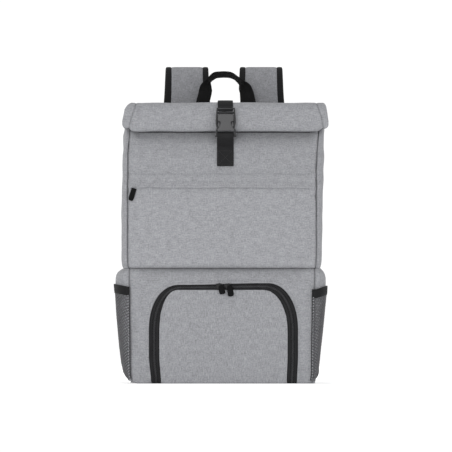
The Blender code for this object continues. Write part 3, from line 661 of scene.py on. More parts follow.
def group(name: str, number: str, outputs: Sequence[str]) -> tuple[Wiring, Sockets, Sockets]:
    """A new node group of a vector and one number, with its inner ends on both sides."""
    tree = bpy.data.node_groups.new(name, "ShaderNodeTree")
    tree.interface.new_socket("Vector", in_out="INPUT", socket_type="NodeSocketVector")
    tree.interface.new_socket(number, in_out="INPUT", socket_type="NodeSocketFloat")
    for word in outputs:
        tree.interface.new_socket(word, in_out="OUTPUT", socket_type="NodeSocketFloat")
    given, result = tree.nodes.new("NodeGroupInput"), tree.nodes.new("NodeGroupOutput")
    return Wiring(tree), given.outputs, result.inputs


class Effects:
    """The node groups that several finishes share, each built once."""

    @staticmethod
    @cache
    def weave() -> bpy.types.NodeTree:
        """Plain weave: the threads' height and the gaps between them."""
        wires, given, result = group("weave", "Threads", ("Height", "Gaps"))
        spread = wires.add("VectorMath", {0: given[0], 3: given[1]}, operation="SCALE")
        axes = wires.add("SeparateXYZ", {0: spread.outputs[0]}).outputs
        height = wires.sum("MULTIPLY", wires.ribs(axes[0], math.pi), wires.ribs(axes[1], math.pi))
        wires.put(height, result[0])
        wires.put(wires.spread(height, 0.0, 0.35, 1.0, 0.0), result[1])
        return wires.tree

    @staticmethod
    @cache
    def heather() -> bpy.types.NodeTree:
        """Mixed light and dark threads, with slubs both ways and slow cloudy patches."""
        wires, given, result = group("heather", "Upright", ("Tone", "Slub"))
        upright, level, specks, clouds = (
            wires.sum("SUBTRACT", wires.noise(wires.scaled(given[0], across, along, 1.0), detail, rough), 0.5)
            for across, along, detail, rough in ((900.0, 120.0, 2.0, 0.65), (105.0, 850.0, 2.0, 0.65),
                                                 (420.0, 520.0, 1.0, 0.6), (95.0, 120.0, 2.0, 0.5)))
        other = wires.sum("SUBTRACT", 1.0, given[1])
        upright = wires.sum("MULTIPLY", upright, given[1])
        threads = wires.sum("ADD", upright, wires.sum("MULTIPLY", level, other))
        whole = wires.sum("MULTIPLY_ADD", clouds, 0.28, wires.sum("MULTIPLY_ADD", specks, 0.55, threads))
        wires.put(wires.sum("MULTIPLY_ADD", whole, 1.6, 0.5), result[0])
        wires.put(wires.sum("MULTIPLY_ADD", threads, 2.0, 0.5), result[1])
        return wires.tree

    @staticmethod
    @cache
    def wear() -> bpy.types.NodeTree:
        """Slow uneven patches for handling and dust, from object coordinates."""
        wires, given, result = group("wear", "Patch", ("Mask",))
        spread = wires.add("VectorMath", {0: given[0], 3: given[1]}, operation="SCALE")
        wires.put(wires.spread(wires.noise(spread.outputs[0], 3.0, 0.6), 0.35, 0.70), result[0])
        return wires.tree


@dataclass
class Finish:
    """A finish: its slot and the numbers that stay the same all over it."""

    name: str
    slot: Slot
    colour: Triple
    roughness: float = 0.85
    sheen: float = 0.0
    specular: float = 0.5
    made: bpy.types.Material | None = field(default=None, compare=False)

    def material(self) -> bpy.types.Material:
        """The finish's material, made at its first use."""
        if self.made is None:
            self.made = bpy.data.materials.new(self.name)
            self.made.use_nodes = True
            wires = Wiring(self.made.node_tree)
            shader = self.made.node_tree.nodes["Principled BSDF"]
            shader.inputs["Sheen Weight"].default_value = self.sheen
            shader.inputs["Sheen Roughness"].default_value = 0.5
            shader.inputs["Specular IOR Level"].default_value = self.specular
            self.wire(wires, shader)
        return self.made

    def wire(self, wires: Wiring, shader: bpy.types.Node) -> None:
        """Lay out the nodes that feed the shader."""
        raise NotImplementedError

    def rgba(self, factor: float = 1.0) -> tuple[float, float, float, float]:
        """The finish's colour times a factor, with its alpha."""
        return (*(min(1.0, part * factor) for part in self.colour), 1.0)

    @staticmethod
    def surface(wires: Wiring, shader: bpy.types.Node, colour: object, rough: object, height: object,
                depth: float, strength: float = 1.0) -> None:
        """Feed colour, roughness and relief to the shader."""
        bump = wires.add("Bump", {"Height": height, "Distance": depth, "Strength": strength})
        for value, word in ((colour, "Base Color"), (rough, "Roughness"), (bump.outputs[0], "Normal")):
            wires.put(value, shader.inputs[word])


@dataclass
class HeatherCloth(Finish):
    """Grey cloth woven of mixed light and dark yarn."""

    roughness: float = 0.90
    sheen: float = 0.06
    specular: float = 0.25
    upright: float = 0.5
    contrast: float = 0.42
    threads: float = 1350.0
    patch: float = 11.0

    def wire(self, wires: Wiring, shader: bpy.types.Node) -> None:
        """Mixed threads, lighter worn patches and painted shade in the colour, and a fine weave with slubs in
        the relief.
        """
        cloth_map = wires.add("UVMap").outputs[0]
        tone, slub = wires.effect(Effects.heather(), cloth_map, self.upright)
        weave, gap = wires.effect(Effects.weave(), cloth_map, self.threads)
        wear = wires.effect(Effects.wear(), wires.place(), self.patch)[0]
        tone = wires.spread(tone, 0.0, 1.0)
        base = wires.mix(tone, self.rgba(1 - self.contrast), self.rgba(1 + self.contrast))
        faded = wires.mix(wires.sum("MULTIPLY", wear, 0.10), base, self.rgba(1.22))
        gaps = wires.mix(wires.sum("MULTIPLY", gap, 0.22), faded, self.rgba(0.55))
        # Painted shade: the colour is darkened towards a near-black grey in seams, hollows and shadowed places.
        shaded = wires.mix(wires.sum("MULTIPLY", wires.painted_shade(), 0.80), gaps, self.rgba(0.13))
        height = wires.sum("MULTIPLY_ADD", slub, 0.6, weave)
        rough = wires.spread(slub, 0.2, 0.8, self.roughness - 0.08, self.roughness + 0.05)
        self.surface(wires, shader, shaded, rough, height, 0.00028, 0.75)


@dataclass
class Webbing(Finish):
    """Black webbing or tape with ribs along or across it."""

    ribs: float = 900.0
    cross_ribs: float = 1100.0
    lighter: float = 1.9
    depth: float = 0.00035
    patch: float = 45.0

    def wire(self, wires: Wiring, shader: bpy.types.Node) -> None:
        """Ribs from the cloth map, with lighter thread tops, a little dust, and painted shade in seams."""
        cloth_map = wires.add("UVMap").outputs[0]
        axes = wires.add("SeparateXYZ", {0: cloth_map}).outputs
        along = wires.ribs(axes[0], self.ribs * math.pi)
        slant = wires.sum("MULTIPLY_ADD", axes[1], self.cross_ribs * math.pi, along)
        cross = wires.sum("ABSOLUTE", wires.sum("SINE", slant))
        height = wires.sum("ADD", wires.sum("MULTIPLY", along, 0.55), wires.sum("MULTIPLY", cross, 0.45))
        wear = wires.effect(Effects.wear(), wires.place(), self.patch)[0]
        tops = wires.spread(height, 0.45, 1.0, 0.0, 0.7)
        colour = wires.mix(tops, self.rgba(0.75), self.rgba(self.lighter))
        dusty = wires.mix(wires.sum("MULTIPLY", wear, 0.35), colour, self.rgba(self.lighter * 1.3))
        # Painted shade: darker colour where the mesh marks seams and hollows.
        shaded = wires.mix(wires.painted_shade(), dusty, self.rgba(0.35))
        rough = wires.spread(height, 0.0, 1.0, self.roughness + 0.08, self.roughness - 0.05)
        self.surface(wires, shader, shaded, rough, height, self.depth)


@dataclass
class Cord(Finish):
    """Thread and net yarn: twisted filament."""

    twist: float = 2600.0
    patch: float = 160.0

    def wire(self, wires: Wiring, shader: bpy.types.Node) -> None:
        """A fine twist across the yarn from object coordinates."""
        fibre, patch = (wires.noise(wires.scaled(wires.place(), scale), 2.0, 0.6)
                        for scale in (self.twist, self.patch))
        both = wires.sum("MULTIPLY_ADD", wires.sum("SUBTRACT", patch, 0.5), 0.8, fibre)
        colour = wires.mix(wires.spread(both, 0.25, 0.75), self.rgba(0.72), self.rgba(1.30))
        rough = wires.spread(fibre, 0.3, 0.7, self.roughness - 0.06, self.roughness + 0.06)
        self.surface(wires, shader, colour, rough, fibre, 0.00012, 0.6)


@dataclass
class Moulded(Finish):
    """Moulded plastic or painted metal with a fine matt grain and rubbed edges."""

    grain: float = 2400.0
    rubbed: float = 2.2
    patch: float = 120.0

    def wire(self, wires: Wiring, shader: bpy.types.Node) -> None:
        """Fine grain, light scuffs, and paler edges where it is handled."""
        fine = wires.noise(wires.scaled(wires.place(), self.grain))
        wear = wires.effect(Effects.wear(), wires.place(), self.patch)[0]
        edge = wires.add("NewGeometry").outputs["Pointiness"]
        rub = wires.sum("MULTIPLY", wires.spread(edge, 0.51, 0.60), wires.sum("ADD", wear, 0.3))
        colour = wires.mix(wires.sum("MULTIPLY", wear, 0.25), self.rgba(), self.rgba(1.35))
        colour = wires.mix(rub, colour, self.rgba(self.rubbed))
        rough = wires.spread(wear, 0.0, 1.0, self.roughness - 0.05, self.roughness + 0.10)
        self.surface(wires, shader, colour, rough, fine, 0.00006, 0.5)


@dataclass
class AirMesh(Finish):
    """Spacer mesh with small round openings in rows."""

    pitch: float = 0.0032

    def wire(self, wires: Wiring, shader: bpy.types.Node) -> None:
        """Staggered openings, darker and sunk below the knit between them, and painted shade in the border's
        groove.
        """
        cloth_map = wires.add("UVMap").outputs[0]
        step = 1.0 / self.pitch
        holes = wires.add("TexVoronoi", {"Vector": wires.scaled(cloth_map, step, step * 1.15, 1.0),
                                         "Scale": 1.0, "Randomness": 0.12})
        open_part = wires.spread(holes.outputs["Distance"], 0.18, 0.42, 1.0, 0.0)
        knit = wires.noise(wires.scaled(cloth_map, 2400.0, 1500.0, 1.0), 2.0, 0.6)
        colour = wires.mix(wires.spread(knit, 0.3, 0.7), self.rgba(0.8), self.rgba(1.7))
        colour = wires.mix(open_part, colour, self.rgba(0.30))
        # Painted shade in the groove round the border, as the mesh marks it.
        colour = wires.mix(wires.sum("MULTIPLY", wires.painted_shade(), 0.7), colour, self.rgba(0.35))
        height = wires.sum("SUBTRACT", wires.sum("MULTIPLY", knit, 0.3), open_part)
        self.surface(wires, shader, colour, self.roughness, height, 0.0007)


@dataclass
class Studio:
    """The plain pale floor, the soft lights, and the camera at the photograph's view."""

    frame_width: float = 0.678
    centre: tuple[float, float] = (0.0060, 0.2363)
    distance: float = 25.0
    floor_size: float = 90.0
    floor_glow: float = 0.34
    surround_light: float = 0.74
    surround_look: float = 1.05

    def build(self) -> None:
        """Make the floor, the lights and the camera."""
        self.floor()
        self.world()
        self.light("key", (-1.1, -3.1, 0.50), 2.2, 33.5)
        self.light("fill", (1.6, -2.9, 0.22), 2.2, 17.5)
        self.light("top", (0.2, 0.2, 2.6), 1.4, 6.0)
        self.light("back", (-0.9, 2.4, 1.6), 1.8, 16.0)
        self.camera()

    def floor(self) -> None:
        """A wide pale floor."""
        deselect()
        bpy.ops.mesh.primitive_plane_add(size=self.floor_size, location=(0.0, 0.0, 0.0))
        floor = take_new("studio_floor")
        paint = bpy.data.materials.new("studio_floor")
        paint.use_nodes = True
        shader = paint.node_tree.nodes["Principled BSDF"]
        wires = Wiring(paint.node_tree)
        patch = wires.noise(wires.scaled(wires.place(), 0.7))
        tone = wires.mix(patch, (0.93, 0.93, 0.93, 1.0), (0.95, 0.95, 0.95, 1.0))
        wires.put(tone, shader.inputs["Base Color"])
        shader.inputs["Roughness"].default_value = 0.9
        shader.inputs["Specular IOR Level"].default_value = 0.1
        shader.inputs["Emission Strength"].default_value = self.floor_glow
        shader.inputs["Emission Color"].default_value = (1.0, 1.0, 1.0, 1.0)
        floor.data.materials.append(paint)

    def world(self) -> None:
        """An even white surround, a little dimmer as light than it looks."""
        world = bpy.data.worlds.new("studio")
        world.use_nodes = True
        bpy.context.scene.world = world
        wires = Wiring(world.node_tree)
        back = world.node_tree.nodes["Background"]
        seen = wires.add("LightPath").outputs["Is Camera Ray"]
        strength = wires.spread(seen, 0.0, 1.0, self.surround_light, self.surround_look)
        wires.put(strength, back.inputs["Strength"])
        back.inputs["Color"].default_value = (1.0, 1.0, 1.0, 1.0)
        scene = bpy.context.scene
        scene.view_settings.view_transform = "Standard"
        scene.view_settings.look = "None"

    def light(self, name: str, place: Triple, size: float, power_watts: float) -> None:
        """A square soft light aimed at the pack's middle."""
        deselect()
        bpy.ops.object.light_add(type="AREA", location=place)
        lamp = bpy.context.active_object
        lamp.name = "studio_" + name
        lamp.data.size = size
        lamp.data.energy = power_watts
        aim = Vector((0.0, 0.0, 0.24)) - Vector(place)
        lamp.rotation_euler = aim.to_track_quat("-Z", "Y").to_euler()

    def camera(self) -> None:
        """A long lens straight before the pack, level, at the height of the picture's middle."""
        deselect()
        bpy.ops.object.camera_add(location=(self.centre[0], -self.distance - 0.08, self.centre[1]),
                                  rotation=(math.pi / 2, 0.0, 0.0))
        camera = bpy.context.active_object
        camera.data.sensor_width = 36.0
        camera.data.lens = 36.0 * self.distance / self.frame_width
        camera.data.clip_end = 100.0
        bpy.context.scene.camera = camera


GREY_CLOTH = HeatherCloth("heather_cloth", Slot.GREY_FABRIC, (0.311, 0.315, 0.332), upright=0.42)
DOOR_CLOTH = HeatherCloth("door_cloth", Slot.GREY_FABRIC, (0.311, 0.315, 0.332), upright=0.76)
# The pocket's grey is the same cloth painted a little lighter: painted light on the pocket.
LIT_POCKET_CLOTH = HeatherCloth("pocket_cloth_painted_light", Slot.GREY_FABRIC, (0.328, 0.332, 0.350), upright=0.42)
# The straps' grey is the same cloth painted darker: painted shade for straps that stand behind the pack,
# further from the light.
SHADED_STRAP_CLOTH = HeatherCloth("strap_cloth_painted_shade", Slot.GREY_FABRIC, (0.262, 0.265, 0.280), upright=0.55)
BLACK_WEBBING = Webbing("black_webbing", Slot.BLACK_WEBBING, (0.0085, 0.0085, 0.0092), 0.78, sheen=0.02,
                        specular=0.25)
HANDLE_WEBBING = Webbing("handle_webbing", Slot.BLACK_WEBBING, (0.0042, 0.0042, 0.0044), 0.82, specular=0.20)
BINDING_TAPE = Webbing("binding_tape", Slot.BLACK_BINDING, (0.0070, 0.0070, 0.0074), 0.84, sheen=0.02,
                       specular=0.2, ribs=1200.0, cross_ribs=300.0)
ELASTIC = Webbing("elastic_band", Slot.BLACK_BINDING, (0.0085, 0.0085, 0.0090), 0.84, sheen=0.02,
                  specular=0.2, ribs=620.0, cross_ribs=500.0, depth=0.0005)
ZIP_TAPE = Webbing("zip_tape", Slot.BLACK_ZIP, (0.0130, 0.0130, 0.0140), 0.80, specular=0.2, ribs=1500.0,
                   cross_ribs=500.0, depth=0.0002)
ZIP_METAL = Moulded("slider_black", Slot.BLACK_ZIP, (0.0035, 0.0035, 0.0038), 0.42, specular=0.30, rubbed=5.0)
ZIP_COIL = Moulded("coil_black", Slot.BLACK_ZIP, (0.0200, 0.0200, 0.0215), 0.40, specular=0.30)
RUBBER = Moulded("pull_rubber", Slot.BLACK_ZIP, (0.0030, 0.0030, 0.0033), 0.70, specular=0.12)
# The buckle's face and prong tips are the same black plastic as its frame, painted a lighter grey: a painted
# reflection of the light on them.
BUCKLE_LIT_GREY = Moulded("buckle_face", Slot.BLACK_PLASTIC, (0.0620, 0.0620, 0.0640), 0.50, specular=0.4,
                      rubbed=1.5)
BUCKLE_BLACK = Moulded("buckle_black", Slot.BLACK_PLASTIC, (0.0170, 0.0170, 0.0180), 0.50, specular=0.35)
ADJUSTER_BLACK = Moulded("adjuster_black", Slot.BLACK_PLASTIC, (0.0200, 0.0200, 0.0210), 0.42)
NET_YARN = Cord("net_yarn", Slot.GREY_NET, (0.116, 0.116, 0.122), 0.85, specular=0.2)
NET_DOTS = Cord("net_dots", Slot.GREY_NET, (0.330, 0.334, 0.350), 0.75)
GREY_THREAD = Cord("grey_thread", Slot.GREY_FABRIC, (0.400, 0.404, 0.424), 0.70)
BLACK_THREAD = Cord("black_thread", Slot.BLACK_BINDING, (0.0200, 0.0200, 0.0210), 0.65)
BACK_MESH = AirMesh("back_air_mesh", Slot.BACK_FABRIC, (0.0240, 0.0240, 0.0260), 0.92, sheen=0.1)


# ---------------------------------------------------------------- the pack's sub-assemblies

@dataclass
class Compartment:
    """What both compartments share: a volume whose cloth is drawn in at its seams."""

    volume: Volume
    seam_depth: float
    seam_width: float
    lip_share: float

    def side_grid(self, u: Array) -> tuple[Array, Array]:
        """The angle round a side wall, and the share of its lip beside the seams."""
        u, lip_share = dense_ends(u), self.lip_share
        angle = math.pi * (np.clip((u - lip_share) / (1 - 2 * lip_share), 0.0, 1.0) - 0.5)
        return angle, np.clip(np.minimum(u, 1 - u) / lip_share, 0.0, 1.0)

    def side_points(self, side: Side, u: Array, share: Array, room: Array, fade: Array = 1.0) -> Array:
        """Points on a side wall, drawn in beside the front seam."""
        angle, lip = self.side_grid(u)
        points = self.volume.side_wall(side, angle, share, room)
        points[:, 0] -= side.value * self.volume.lip * (1 - lip)
        beside = np.abs(points[:, 1] + self.volume.front_at(share)) + lip * self.volume.lip
        points[:, 1] += pinch(beside, self.seam_depth * 0.8, self.seam_width) * fade
        return points

    def strip(self, u: Array, v: Array, low: float = 0.0, top: float = 1.0) -> tuple[Array, Array, Array]:
        """The place across, the share and the height on the front, between two shares."""
        share = low + (top - low) * v
        return 2 * dense_ends(u) - 1, share, self.volume.height_at(share)


@dataclass
class UpperCompartment(Compartment):
    """The roll-top compartment: its front, front pocket and flap, sides and roof."""

    volume: Volume = UPPER
    seam_depth: float = 0.0030
    seam_width: float = 0.0020
    lip_share: float = 0.07
    columns: int = 170
    pocket_top: float = 0.2938
    pocket_room: float = 0.0078
    flap_top: float = 0.3152
    flap_overlap: float = 0.0030
    flap_wall: float = 0.0010
    flap_room: float = 0.0006
    stitch_rise: float = 0.0042
    sewn_in: float = 0.0014
    neck_rows: float = 0.70
    ear_rise: float = 0.0060
    ear_shift: float = 0.0028
    right_drift: float = 0.0014
    side_rooms: dict[Side, tuple[tuple[float, float], ...]] = field(default_factory=lambda: {
        Side.LEFT: ((0.173, 0.0), (0.250, 0.0), (0.305, -0.0010), (0.333, -0.0018), (0.343, -0.0021),
                    (0.352, -0.0030), (0.373, -0.0021), (0.376, -0.0018)),
        Side.RIGHT: ((0.173, -0.0012), (0.250, -0.0003), (0.305, 0.0013), (0.345, 0.0010), (0.376, -0.0014))})
    front_folds: tuple[Fold, ...] = (
        Fold((-0.120, 0.352), (-0.020, 0.336), 0.012, 0.0012),
        Fold((0.030, 0.345), (0.130, 0.356), 0.010, 0.0011),
        Fold((-0.125, 0.322), (0.125, 0.320), 0.008, -0.0008),
        Fold((-0.135, 0.366), (0.135, 0.366), 0.006, -0.0014),
    )
    pocket_folds: tuple[Fold, ...] = (
        Fold((0.105, 0.285), (0.140, 0.262), 0.006, -0.0016),
        Fold((0.118, 0.276), (0.141, 0.240), 0.008, 0.0012),
        Fold((-0.130, 0.270), (-0.100, 0.215), 0.012, 0.0010),
        Fold((-0.080, 0.196), (0.060, 0.188), 0.010, 0.0012),
        Fold((0.040, 0.212), (0.125, 0.200), 0.012, -0.0010),
        Fold((-0.125, 0.188), (-0.060, 0.182), 0.007, -0.0009),
    )

    def build(self) -> None:
        """Make and dress every panel."""
        self.front()
        self.pocket()
        self.flap()
        for side in Side:
            self.gusset(side)
        self.roof()
        self.topstitching()

    def ears(self, points: Array) -> Array:
        """Draw the corners under the roll's ends up and a little aside, as the roll pulls them."""
        x, y, z = points.T.copy()
        ahead = ramp(y, start=0.020, reach=-0.050)
        drift = self.right_drift * ramp(x, start=0.0, reach=0.14) * ramp(z, start=0.318, reach=0.025)
        points[:, 0] += drift + self.ear_shift * ramp(z, start=0.345, reach=0.030) * ahead
        outer = ramp(np.abs(x), start=0.126, reach=0.014)
        points[:, 2] += self.ear_rise * outer * ramp(z, start=0.352, reach=0.020) * ahead
        return points

    def edge_in(self, across: Array, share: Array, height: Array) -> Array:
        """How far the front's cloth is drawn in at its side seams and its lower seam."""
        seam = self.volume.seam_at(share)
        beside = (1 - np.abs(across)) * seam
        wave = 1 + waver(height, size=0.35, wave=0.047, phase=1.3) * np.sign(across)
        below = height - self.volume.base
        return pinch(beside, self.seam_depth, self.seam_width) * wave + pinch(below, 0.0014, 0.0030)

    def painted_shade(self, across: Array, share: Array, height: Array) -> Array:
        """How much painted seam shadow each place of the front gets, from 0 to 1."""
        beside = (1 - np.abs(across)) * self.volume.seam_at(share)
        uneven = waver(height, size=0.0006, wave=0.031, phase=0.4 + np.sign(across))
        beside = beside - np.clip(uneven, 0.0, 0.0006)
        below = height - self.volume.base
        tight = 0.50 + 0.50 * np.clip((height - 0.215) / 0.04, 0.0, 1.0)
        tight = tight * (0.70 + 0.30 * np.sin(height * 190 + 2 * np.sin(height * 61) + across))
        # Painted shadow along the side seams, stronger higher up and uneven along them, and a faint one along
        # the lower seam.
        return np.clip(tight * SEAM_SHADOW.out(np.maximum(beside, 0))
                       + 0.12 * SEAM_SHADOW.out(np.maximum(below, 0)), 0, 1)

    def layer(self, name: str, node: str, finish: Finish, out: Callable[..., Array], low: float = 0.0,
              top: float = 1.0, rows: int = 100, wall: float = CLOTH,
              settled: OnGrid = lambda points, v: points) -> None:
        """One layer of cloth on the front.

        Args:
            name: The piece's name.
            node: The CAD node that it stands for.
            finish: Its finish.
            out: Gives how far it stands before the front wall, by across, v, share and height.
            low: The share of the way up at its lower edge.
            top: The share of the way up at its upper edge.
            rows: Faces from its lower to its upper edge.
            wall: Its thickness.
            settled: A last change to its points, by the points and v.
        """
        def place(u: Array, v: Array) -> Array:
            across, share, height = self.strip(u, v, low, top)
            before = out(across, v, share, height) - self.edge_in(across, share, height)
            return settled(self.volume.front_wall(across, share, before), v)

        item = cloth(name, place, self.columns, rows, wall, AHEAD,
                     lambda u, v: self.painted_shade(*self.strip(u, v, low, top)))
        dress(item, finish, node)

    def front(self) -> None:
        """The front panel behind the pocket and below the roll."""
        def out(across: Array, v: Array, share: Array, height: Array) -> Array:
            folds = folds_out(self.front_folds, across * self.volume.seam_at(share), height)
            return folds * (height > self.flap_top)

        self.layer("upper_front", "upper_front_panel", GREY_CLOTH, out,
                   settled=lambda points, v: self.ears(points))

    def pocket_out(self, across: Array, rise: Array) -> Array:
        """How far the pocket's cloth stands before the front wall, by its rise from 0 to 1."""
        swell = np.sin(math.pi * np.minimum(1.0, rise * 1.02)) ** 0.7
        return CLOTH + TOUCH + self.pocket_room * (1 - across ** 4) * np.maximum(swell, 0.0)

    def pocket(self) -> None:
        """The front pocket's panel up to under the flap."""
        def out(across: Array, v: Array, share: Array, height: Array) -> Array:
            folds = folds_out(self.pocket_folds, across * self.volume.seam_at(share), height)
            return self.pocket_out(across, v) + folds * np.sin(math.pi * v) ** 0.5

        top = float(self.volume.share_of(self.pocket_top + self.flap_overlap))
        self.layer("pocket_front", "front_pocket_panel", LIT_POCKET_CLOTH, out, top=top, rows=110)

    def flap_out(self, across: Array, v: Array) -> Array:
        """How far the flap stands before the front wall, v being 0 at its loose edge."""
        height = self.pocket_top + (self.flap_top - self.pocket_top) * v
        over = ramp(height, start=self.pocket_top + self.flap_overlap + 0.007, reach=-0.006)
        sewn = self.sewn_in * ramp(v, start=0.84, reach=0.16)
        loose = self.flap_room * (1 - across ** 4) * (1 - v)
        return self.flap_wall + TOUCH + (CLOTH + 0.0002) * over + loose - sewn

    def flap(self) -> None:
        """The flap over the pocket's zip, with a turned lower edge and a flat upper seam."""
        ends = [float(self.volume.share_of(height)) for height in (self.pocket_top, self.flap_top)]
        hem, stitched = Ridge(0.0014, 0.0018, 0.0004), Ridge(self.stitch_rise, 0.0009, -0.0004)

        def out(across: Array, v: Array, share: Array, height: Array) -> Array:
            above = height - self.pocket_top
            return self.flap_out(across, v) + hem.out(above) + stitched.out(above)

        def settled(points: Array, v: Array) -> Array:
            droop = np.clip((points[:, 0] - 0.085) / 0.055, 0.0, 1.0) ** 2 * 0.0022
            points[:, 2] += (waver(points[:, 0], size=0.0004, wave=0.120, phase=0.8) - droop) * (1 - v)
            return points

        self.layer("pocket_flap_cover", "pocket_flap", GREY_CLOTH, out, *ends, rows=34,
                   wall=self.flap_wall, settled=settled)

    def gusset(self, side: Side) -> None:
        """A side wall, drawn in at its two seams."""
        def place(u: Array, v: Array) -> Array:
            height = self.volume.height_at(v)
            room = read_column(height, self.side_rooms[side])
            room = room + waver(height, size=0.0005, wave=0.085, phase=2.0 + side.value) * np.sin(math.pi * v)
            room = room + self.volume.bulge * np.maximum(0.0, 0.98 - self.volume.read(BULGE, v)) * (v > 0.5)
            fade = np.clip((0.97 - v) / 0.05, 0.0, 1.0)
            return self.ears(self.side_points(side, u, v, room, fade))

        # Painted shadow on the side wall's lip beside the front seam, stronger higher up.
        def shade(u: Array, v: Array) -> Array:
            tight = 0.4 + 0.6 * np.clip((v - 0.20) / 0.20, 0.0, 1.0)
            return np.clip(1.0 - self.side_grid(u)[1] * 2.6, 0.0, 1.0) * (u < 0.5) * tight

        dress(cloth(f"upper_side_{side.word}", place, 80, 90, CLOTH, (side.value, 0, 0), shade),
              GREY_CLOTH, f"upper_gusset_{side.word}")

    def roof(self) -> None:
        """The cloth from the back seam forwards to the neck of the roll."""
        def place(u: Array, v: Array) -> Array:
            share = self.neck_rows + (1 - self.neck_rows) * v
            across = 2 * dense_ends(u) - 1
            sag = 0.0012 * np.sin(math.pi * v) ** 2 * np.cos(across * 0.14 * 55) * (v > 0.3)
            return self.ears(self.volume.back_wall(across, share, sag))

        dress(cloth("roof_cloth", place, 90, 40, CLOTH, (0, 0.6, 1)), GREY_CLOTH, "top_panel")

    def topstitching(self) -> None:
        """The two stitch rows of the flap."""
        across = np.linspace(-0.965, 0.965, 260)
        rows = []
        for height, lift in ((self.pocket_top + self.stitch_rise, 0.0005), (self.flap_top - 0.0022, 0.0004)):
            share = np.broadcast_to(self.volume.share_of(height), across.shape)
            v = (height - self.pocket_top) / (self.flap_top - self.pocket_top)
            route = self.volume.front_wall(across, share, self.flap_out(across, v) + lift - 0.0007)
            rows.append((route, AHEAD))
        stitches("flap_stitches", rows, GREY_THREAD, *SEWING)


@dataclass
class Arch:
    """The arched outline of the lower compartment's door and its zip."""

    half: float = 0.1115
    height: float = 0.1490
    centre: float = 0.0022
    corner_width: float = 0.046
    corner_height: float = 0.069
    squareness: float = 2.15
    side_width: float = 0.0150
    top_width: float = 0.0082
    lean: float = 0.0013
    feet_in: dict[Side, float] = field(default_factory=lambda: {Side.LEFT: 0.0034, Side.RIGHT: 0.0016})

    def inward(self, x: Array, z: Array) -> Array:
        """How far the arch's feet are drawn together, for places measured from its middle."""
        amount = np.where(x < 0, self.feet_in[Side.LEFT], -self.feet_in[Side.RIGHT])
        return amount * ramp(z, start=0.042, reach=-0.042) * np.clip(np.abs(x) / self.half, 0.0, 1.0)

    def outline(self, share: float, inset: float, count: int) -> Array:
        """The outline from the left foot round to the right foot, as (x, z) rows.

        Args:
            share: 0 on the zip's outer edge, 1 on its inner edge.
            inset: Metres further in.
            count: The number of points.

        Returns:
            Evenly spaced rows of (x, z).
        """
        half = self.half - self.side_width * share - inset
        top = self.height - self.top_width * share - inset
        wide = self.corner_width - self.side_width * share * 0.5
        high = self.corner_height - self.top_width * share * 0.5
        angle = np.linspace(0.0, math.pi / 2, 90)
        x = half - wide + wide * power(np.cos(angle), self.squareness)
        z = top - high + high * power(np.sin(angle), self.squareness)
        right = np.stack([np.r_[half, x], np.r_[0.0, z]], axis=1)
        whole = np.r_[right * (-1, 1), right[::-1]]
        steps = steps_of(whole)
        x, z = read_rows(np.linspace(0.0, steps[-1], count), steps, whole).T
        lean = self.lean * np.tanh(x / 0.035) * (z / top) ** 6 * (1 - share)
        return np.stack([x + self.inward(x, z) + self.centre, z + lean], axis=1)


